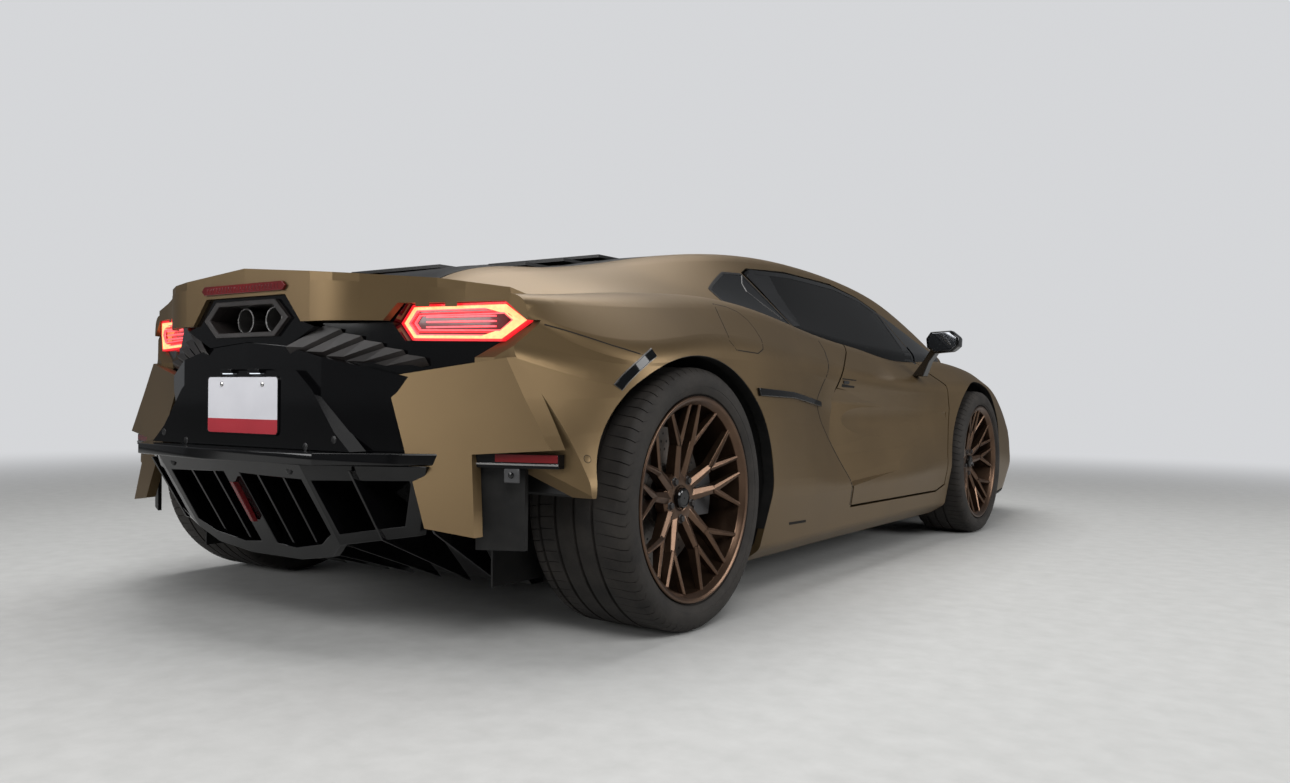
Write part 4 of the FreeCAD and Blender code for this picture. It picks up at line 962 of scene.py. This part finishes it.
def door_trims():
    # A flat dark patch on the door skin, painted as the shade inside the handle's recess.
    recess = band(Form(), [(396, 716), (262, 712)], [(388, 684), (270, 682)], 0.6, steps=8)
    make_on_doors("door_handle_recess_shade", recess, "black_parts_and_painted_gap_shade")
    lever = band(Form(), [(384, 708), (330, 706)], [(380, 696), (332, 695)], 3.0, steps=8)
    make_on_doors("door_handle", lever, "satin_black", bevel=1.2)
    housing = Form()
    outline = [(970, 900), (990, 928), (1076, 932), (1110, 904), (1108, 864), (1082, 842), (1002, 836),
               (974, 862)]

    def mirror_ring(y, share):
        return [(1040 + (x - 1040) * share, y, 884 + (z - 884) * share) for x, z in outline]

    depths = ((-374, 0.92), (-378, 1.0), (-420, 0.98), (-468, 0.82), (-492, 0.52))
    housing.between([mirror_ring(y, share) for y, share in depths])
    housing.between([[(938, -496, 741), (940, -432, 741), (888, -432, 741), (886, -496, 741)],
                     [(966, -482, 802), (968, -424, 802), (938, -424, 802), (936, -482, 802)],
                     [(1014, -462, 858), (1014, -412, 858), (980, -412, 858), (980, -462, 858)]])
    make_on_doors("mirror_housing", housing, "gloss_black", bevel=4.0, swaps="mirror")
    silver = Form().between([mirror_ring(y, 0.84) for y in (-375, -372.5)])
    make_on_doors("mirror_glass", silver, "mirror_silver", bevel=0.6)


def window_lines():
    window_edge = [(-622, 800), (-556, 1028), (-420, 1082), (-200, 1117), (200, 1125), (492, 1112),
                   (545, 1085), (510, 830)]
    border = ribbon(Form(), window_edge, 24, 1.0, tree=glass, step=12)
    front = [(372, 1118), (440, 1010), (490, 840)]
    pillar = band(Form(), front, [(540, 1100), (552, 1000), (540, 840)], 1.2, tree=glass, steps=16)
    triangle = Form()
    band(triangle, [(-618, 812), (-575, 960), (-560, 1020)], [(-520, 812), (-545, 960), (-556, 1024)], 1.2,
         tree=glass, steps=10)
    for name, form in (("window_border", border), ("window_pillar", pillar), ("window_corner", triangle)):
        make_on_doors(name, form, "gloss_black")
    line = [(585, 1090), (640, 1052), (662, 1020), (640, 985), (585, 925)]
    divider = ribbon(Form(), line, 4.0, 1.0, tree=glass, step=8)
    make("quarter_light_lines", divider.twin(), "bright_metal")
    line = [(548, 830), (584, 1094), (700, 1088), (902, 1008), (955, 884)]
    rim = ribbon(Form(), line, 12, 1.0, tree=glass, step=10)
    make("quarter_light_borders", rim.twin(), "satin_black")


def wipers():
    screen = surface_tree("windscreen", "bonnet", "front_fenders")
    arm_lines = [(-40, -1330), (200, -1230), (420, -1120)], [(-380, -1260), (-160, -1180), (60, -1080)]
    rubber_lines = [(60, -1290), (420, -1120)], [(-300, -1240), (60, -1080)]
    for name, lines, wide, lift, sunk, finish, bevel in (
        ("wiper_arms", arm_lines, 9, 14, -8, "satin_black", 1.0),
        ("wiper_rubbers", rubber_lines, 4, 8, -0.5, "black_parts_and_painted_gap_shade", 0.0),
    ):
        form = Form()
        for line in lines:
            ribbon(form, line, wide, lift, ABOVE, screen, sunk=sunk)
        make(name, form, finish, bevel=bevel)


seams()
flank_trims()
door_trims()
window_lines()
wipers()


# Nose: daytime lights, projectors, grille bars
def nose_details():
    lamps = surface_tree("headlamps", "front_bumper", "front_fenders")
    lit = ribbon(Form(), [(566, 520), (700, 540), (822, 578)], 7, 1.2, FRONT, lamps)
    ribbon(lit, [(652, 532), (716, 572), (744, 600)], 7, 1.2, FRONT, lamps)
    make("daytime_lights", lit.twin(), "lamp_white", bevel=0.8)
    domes = Form()
    for flat in ((630, 552), (770, 578)):
        button(domes, flat, 15, 3.0, FRONT, lamps, sunk=3.0)
    make("headlamp_lenses", domes.twin(), "mirror_silver", slot="lamp_glass", smooth=True)
    # A dark strip round each headlamp: painted shade in the gap round the lamp.
    outline = [(548, 512), (600, 560), (742, 606), (812, 600), (838, 560), (700, 520)]
    edge = ribbon(Form(), outline, 3.5, 0.3, FRONT, lamps, closed=True, step=10)
    make("headlamp_seam_shade", edge.twin(), "black_parts_and_painted_gap_shade")
    grilles = surface_tree("front_grilles")
    bars = Form()
    for k in range(6):
        z = 215 + 28 * k
        ribbon(bars, [(470, z), (850, z + 22)], 6, 6, FRONT, grilles)
    for k in range(9):
        x = 490 + 42 * k
        ribbon(bars, [(x, 210), (x + 14, 390)], 4, 4, FRONT, grilles)
    for k in range(3):
        ribbon(bars, [(6, 195 + 25 * k), (390, 195 + 25 * k)], 6, 6, FRONT, grilles)
    make("grille_bars", bars.twin(), "gloss_black")
    blades = ribbon(Form(), [(455, 204), (478, 328), (600, 350)], 16, 7, FRONT)
    ribbon(blades, [(600, 350), (842, 410), (880, 332)], 12, 5, FRONT)
    make("intake_edges", blades.twin(), "satin_black", bevel=1.5)
    lines = ribbon(Form(), [(60, -1900), (150, -1600), (190, -1340)], 4, 0.3, ABOVE)
    make("bonnet_creases", lines.twin(), "bronze_paint", "bonnet")


# Cabin: padded seats, dashboard screens, console, steering wheel pad
SEAT_X = 372


def seats():
    recline = 0.32
    padding = Form().pillow((SEAT_X, -85, 285), (168, 262, 62), -0.10)
    padding.pillow((SEAT_X, 262, 560), (160, 52, 262), recline)
    for side in (-1, 1):
        padding.pillow((SEAT_X + side * 192, -70, 305), (40, 255, 66), -0.06)
        padding.pillow((SEAT_X + side * 186, 240, 530), (42, 74, 235), recline)
        padding.pillow((SEAT_X + side * 150, 318, 742), (52, 48, 90), recline)
    padding.pillow((SEAT_X, 352, 845), (112, 38, 62), 0.2)
    cushions = make("seat_cushions", padding.twin(), "seat_leather", smooth=True, replaces=["seats"])
    inserts = Form()
    for k in range(5):
        inserts.pillow((SEAT_X, -255 + 88 * k, 340 - 9 * k), (84, 34, 12), -0.10, rings=8, around=24)
    for k in range(5):
        rise = 400 + 72 * k
        inserts.pillow((SEAT_X, 160 + (rise - 400) * 0.33, rise), (84, 12, 30), recline, rings=8, around=24)
    panels = make("seat_panels", inserts.twin(), "seat_bronze", smooth=True)
    shells = Form().pillow((SEAT_X, 332, 575), (216, 34, 330), recline, 0.3)
    shells.box(SEAT_X - 190, SEAT_X + 190, -300, 200, 196, 232)
    for side in (-1, 1):
        shells.box(SEAT_X + side * 150 - 14, SEAT_X + side * 150 + 14, -330, 240, 168, 200)
    make("seat_shells", shells.twin(), "satin_black", smooth=True)
    belts = Form()
    path = ((96, 372, 800), (98, 296, 792), (100, 222, 640), (120, 180, 480), (150, 150, 380))
    for side in (-1, 1):
        rings = []
        for x, y, z in path:
            middle = SEAT_X + side * x
            rings.append([(middle - 22, y, z), (middle + 22, y, z), (middle + 22, y + 3, z + 2),
                          (middle - 22, y + 3, z + 2)])
        belts.between(rings)
    make("seat_belts", belts.twin(), "black_parts_and_painted_gap_shade", slot="seat_leather")


def cockpit():
    hood = Form().pillow((SEAT_X, -560, 762), (190, 74, 34), 0.0, 0.5)
    hood.pillow((0, -640, 758), (620, 74, 22), 0.0, 0.35)
    make("dashboard_hood", hood, "wheel_leather", slot="seat_leather", smooth=True)
    for name, middle, half, finish, section in (
        ("driver", SEAT_X, 130, "screen_teal", [(-498, 724), (-486, 726), (-470, 664), (-482, 662)]),
        ("middle", 0, 90, "dark_glass", [(-470, 700), (-458, 700), (-430, 560), (-442, 560)]),
        ("passenger", -SEAT_X, 120, "dark_glass", [(-494, 722), (-482, 724), (-474, 690), (-486, 688)]),
    ):
        screen = Form().prism(section, middle - half, middle + half, "x")
        make(f"{name}_screen", screen, finish, bevel=1.5)
    console = Form()
    console.prism([(-560, 640), (-450, 560), (-330, 470), (60, 430), (420, 470), (420, 380), (-560, 380)],
                  -112, 112, "x")
    make("centre_console", console, "wheel_leather", slot="trim_black", bevel=14.0)
    knobs = Form()
    for k in range(4):
        knobs.box(-60 + 34 * k, -36 + 34 * k, -300, -262, 462, 478)
    knobs.box(-34, 34, -220, -120, 450, 476)
    make("console_switches", knobs, "bright_metal", bevel=3.0)
    vents = Form()
    for x in (-560, -180, 180, 560):
        for k in range(4):
            vents.box(x - 48, x + 48, -506 + 5 * k, -470 + 5 * k, 716 - 12 * k, 721 - 12 * k)
    make("air_vents", vents, "gloss_black", bevel=1.0)


def steering_pad():
    spot = joint_place["steering_wheel_turn"]
    joint = next(j for j in frame["joints"] if j["name"] == "steering_wheel_turn")
    axis = Vector(joint["axis"]).normalized()
    across = Vector((1, 0, 0))
    rise = axis.cross(across)
    if rise.z < 0:
        rise = -rise
    towards_driver = axis if axis.y > 0 else -axis

    def place(u, v, w):
        return spot + across * u + rise * v + towards_driver * w

    outline = [(-70, 42), (70, 42), (62, -30), (24, -64), (-24, -64), (-62, -30)]
    levels = ((1, 12), (1, 26), (0.84, 32))
    rings = [[place(u * size, v * size, w) for u, v in outline] for size, w in levels]
    make("steering_pad", Form().between(rings), "wheel_leather", "steering_wheel", bevel=5.0)
    keys = Form()
    for u in (-104, 104):
        keys.between([[place(u + x * a, y * b, w) for a, b in ((-1, -1), (1, -1), (1, 1), (-1, 1))]
                      for x, y, w in ((20, 12, 10), (18, 10, 19))])
    make("steering_keys", keys, "bright_metal", "steering_wheel", bevel=2.0)
    stitch = Form()
    for angle in turns(72):
        u = cos(angle)
        v = sin(angle)
        path = [place(u * r, v * r, w) for r, w in ((160, -5), (157, 0), (160, 5))]
        stitch.tube(path, 0.9, 5)
    make("steering_stitches", stitch, "seat_bronze", "steering_wheel")


# Underside: bolts on the floor
def underside():
    bolts = Form()
    floor_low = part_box("chassis_tub")[0][2] / MM
    for x in (120, 420, 640):
        for k in range(8):
            y = -860 + 240 * k
            bolts.prism([(x + 9 * cos(radians(60 * s)), y + 9 * sin(radians(60 * s)))
                         for s in range(6)], floor_low - 3, floor_low + 2, "z")
    make("floor_bolts", bolts.twin(), "forged_grey", bevel=0.8)


nose_details()
seats()
cockpit()
steering_pad()
underside()


# Stage: pale floor, soft lamps, the photograph's camera
BACKDROP = (0.74, 0.75, 0.77, 1)
BACKDROP_POWER = 0.9


def stage_floor():
    """A pale floor that takes shadows near the car and fades into the backdrop away from it."""
    tree, shader = new_material("floor_pale")
    colour = ramp(tree, noise(tree, 14.0, 5.0), (0.42, 0.42, 0.41), (0.47, 0.47, 0.46))
    connect(tree, shader, {"Base Color": colour, "Roughness": 0.7})
    length_output = 1
    reach = add_node(tree, "VectorMath", {0: add_node(tree, "TexCoord", {}, "Object")}, length_output)
    reach.node.operation = "LENGTH"
    fade = add_node(tree, "MapRange", {"Value": reach, "From Min": 3.4, "From Max": 9.5}, "Result")
    fade.node.interpolation_type = "SMOOTHSTEP"
    seen = add_node(tree, "LightPath", {}, "Is Camera Ray")
    share = add_node(tree, "Math", {0: fade, 1: seen}, "Value")
    share.node.operation = "MULTIPLY"
    pale = add_node(tree, "Emission", {"Color": BACKDROP, "Strength": BACKDROP_POWER}, "Emission")
    mixed_shader(tree, share, shader.outputs["BSDF"], pale)
    size = 60.0
    corners = [(-size, -size, 0), (size, -size, 0), (size, size, 0), (-size, size, 0)]
    mesh = bpy.data.meshes.new("floor")
    mesh.from_pydata(corners, [], [(0, 1, 2, 3)])
    mesh.materials.append(finishes["floor_pale"])
    floor = add_object("floor", mesh)
    floor.location.z = -0.0005


def area_lamp(name, place, target, size, power):
    data = bpy.data.lights.new(name, "AREA")
    data.shape = "RECTANGLE"
    data.size, data.size_y = size
    data.energy = power
    lamp = add_object(name, data)
    lamp.location = place
    lamp.rotation_mode = "QUATERNION"
    lamp.rotation_quaternion = (Vector(target) - Vector(place)).to_track_quat("-Z", "Y")


stage_floor()
area_lamp("key", (-4.5, 5.5, 5.0), (0, 0.6, 0.5), (4.0, 3.0), 320)
area_lamp("top", (0.5, 0, 5.5), (0, 0, 0), (6.0, 4.0), 330)
area_lamp("fill", (-7.0, -2.0, 2.6), (0, 0, 0.6), (4.0, 2.5), 240)
area_lamp("rear_fill", (2.5, 7.0, 2.2), (0, 1.5, 0.6), (4.0, 2.0), 140)
world = bpy.data.worlds.new("studio")
scene.world = world
world.use_nodes = True
world_tree = world.node_tree
backdrop = world_tree.nodes["Background"]
connect(world_tree, backdrop, {"Color": BACKDROP, "Strength": BACKDROP_POWER})
soft = {"Color": (0.80, 0.82, 0.85, 1), "Strength": 0.18}
soft_light = add_node(world_tree, "Background", soft, "Background")
seen = add_node(world_tree, "LightPath", {}, "Is Camera Ray")
mixed_shader(world_tree, seen, soft_light, backdrop.outputs["Background"])
scene.view_settings.view_transform = "Standard"

# Camera, solved from the photograph: 1290 pixels wide, its focal length and vertical shift in pixels
PHOTO_WIDTH = 1290
FOCAL_PIXELS = 1032.8
SHIFT_PIXELS = 10.1
yaw = radians(34.156)
pitch = -0.00428
roll = 0.00979
forward = Vector((sin(yaw) * cos(pitch), -cos(yaw) * cos(pitch), sin(pitch)))
right = forward.cross(Vector((0, 0, 1))).normalized()
up = right.cross(forward)
across = right * cos(roll) + up * sin(roll)
upward = -right * sin(roll) + up * cos(roll)
camera_data = bpy.data.cameras.new("camera")
camera = add_object("camera", camera_data)
turn = Matrix((across, upward, -forward)).transposed()
camera.matrix_world = Matrix.Translation((-2.4482, 3.9219, 0.6396)) @ turn.to_4x4()
camera_data.sensor_width = 36.0
camera_data.lens = 36.0 * FOCAL_PIXELS / PHOTO_WIDTH
camera_data.shift_y = SHIFT_PIXELS / PHOTO_WIDTH
camera_data.clip_start = 0.05
scene.camera = camera
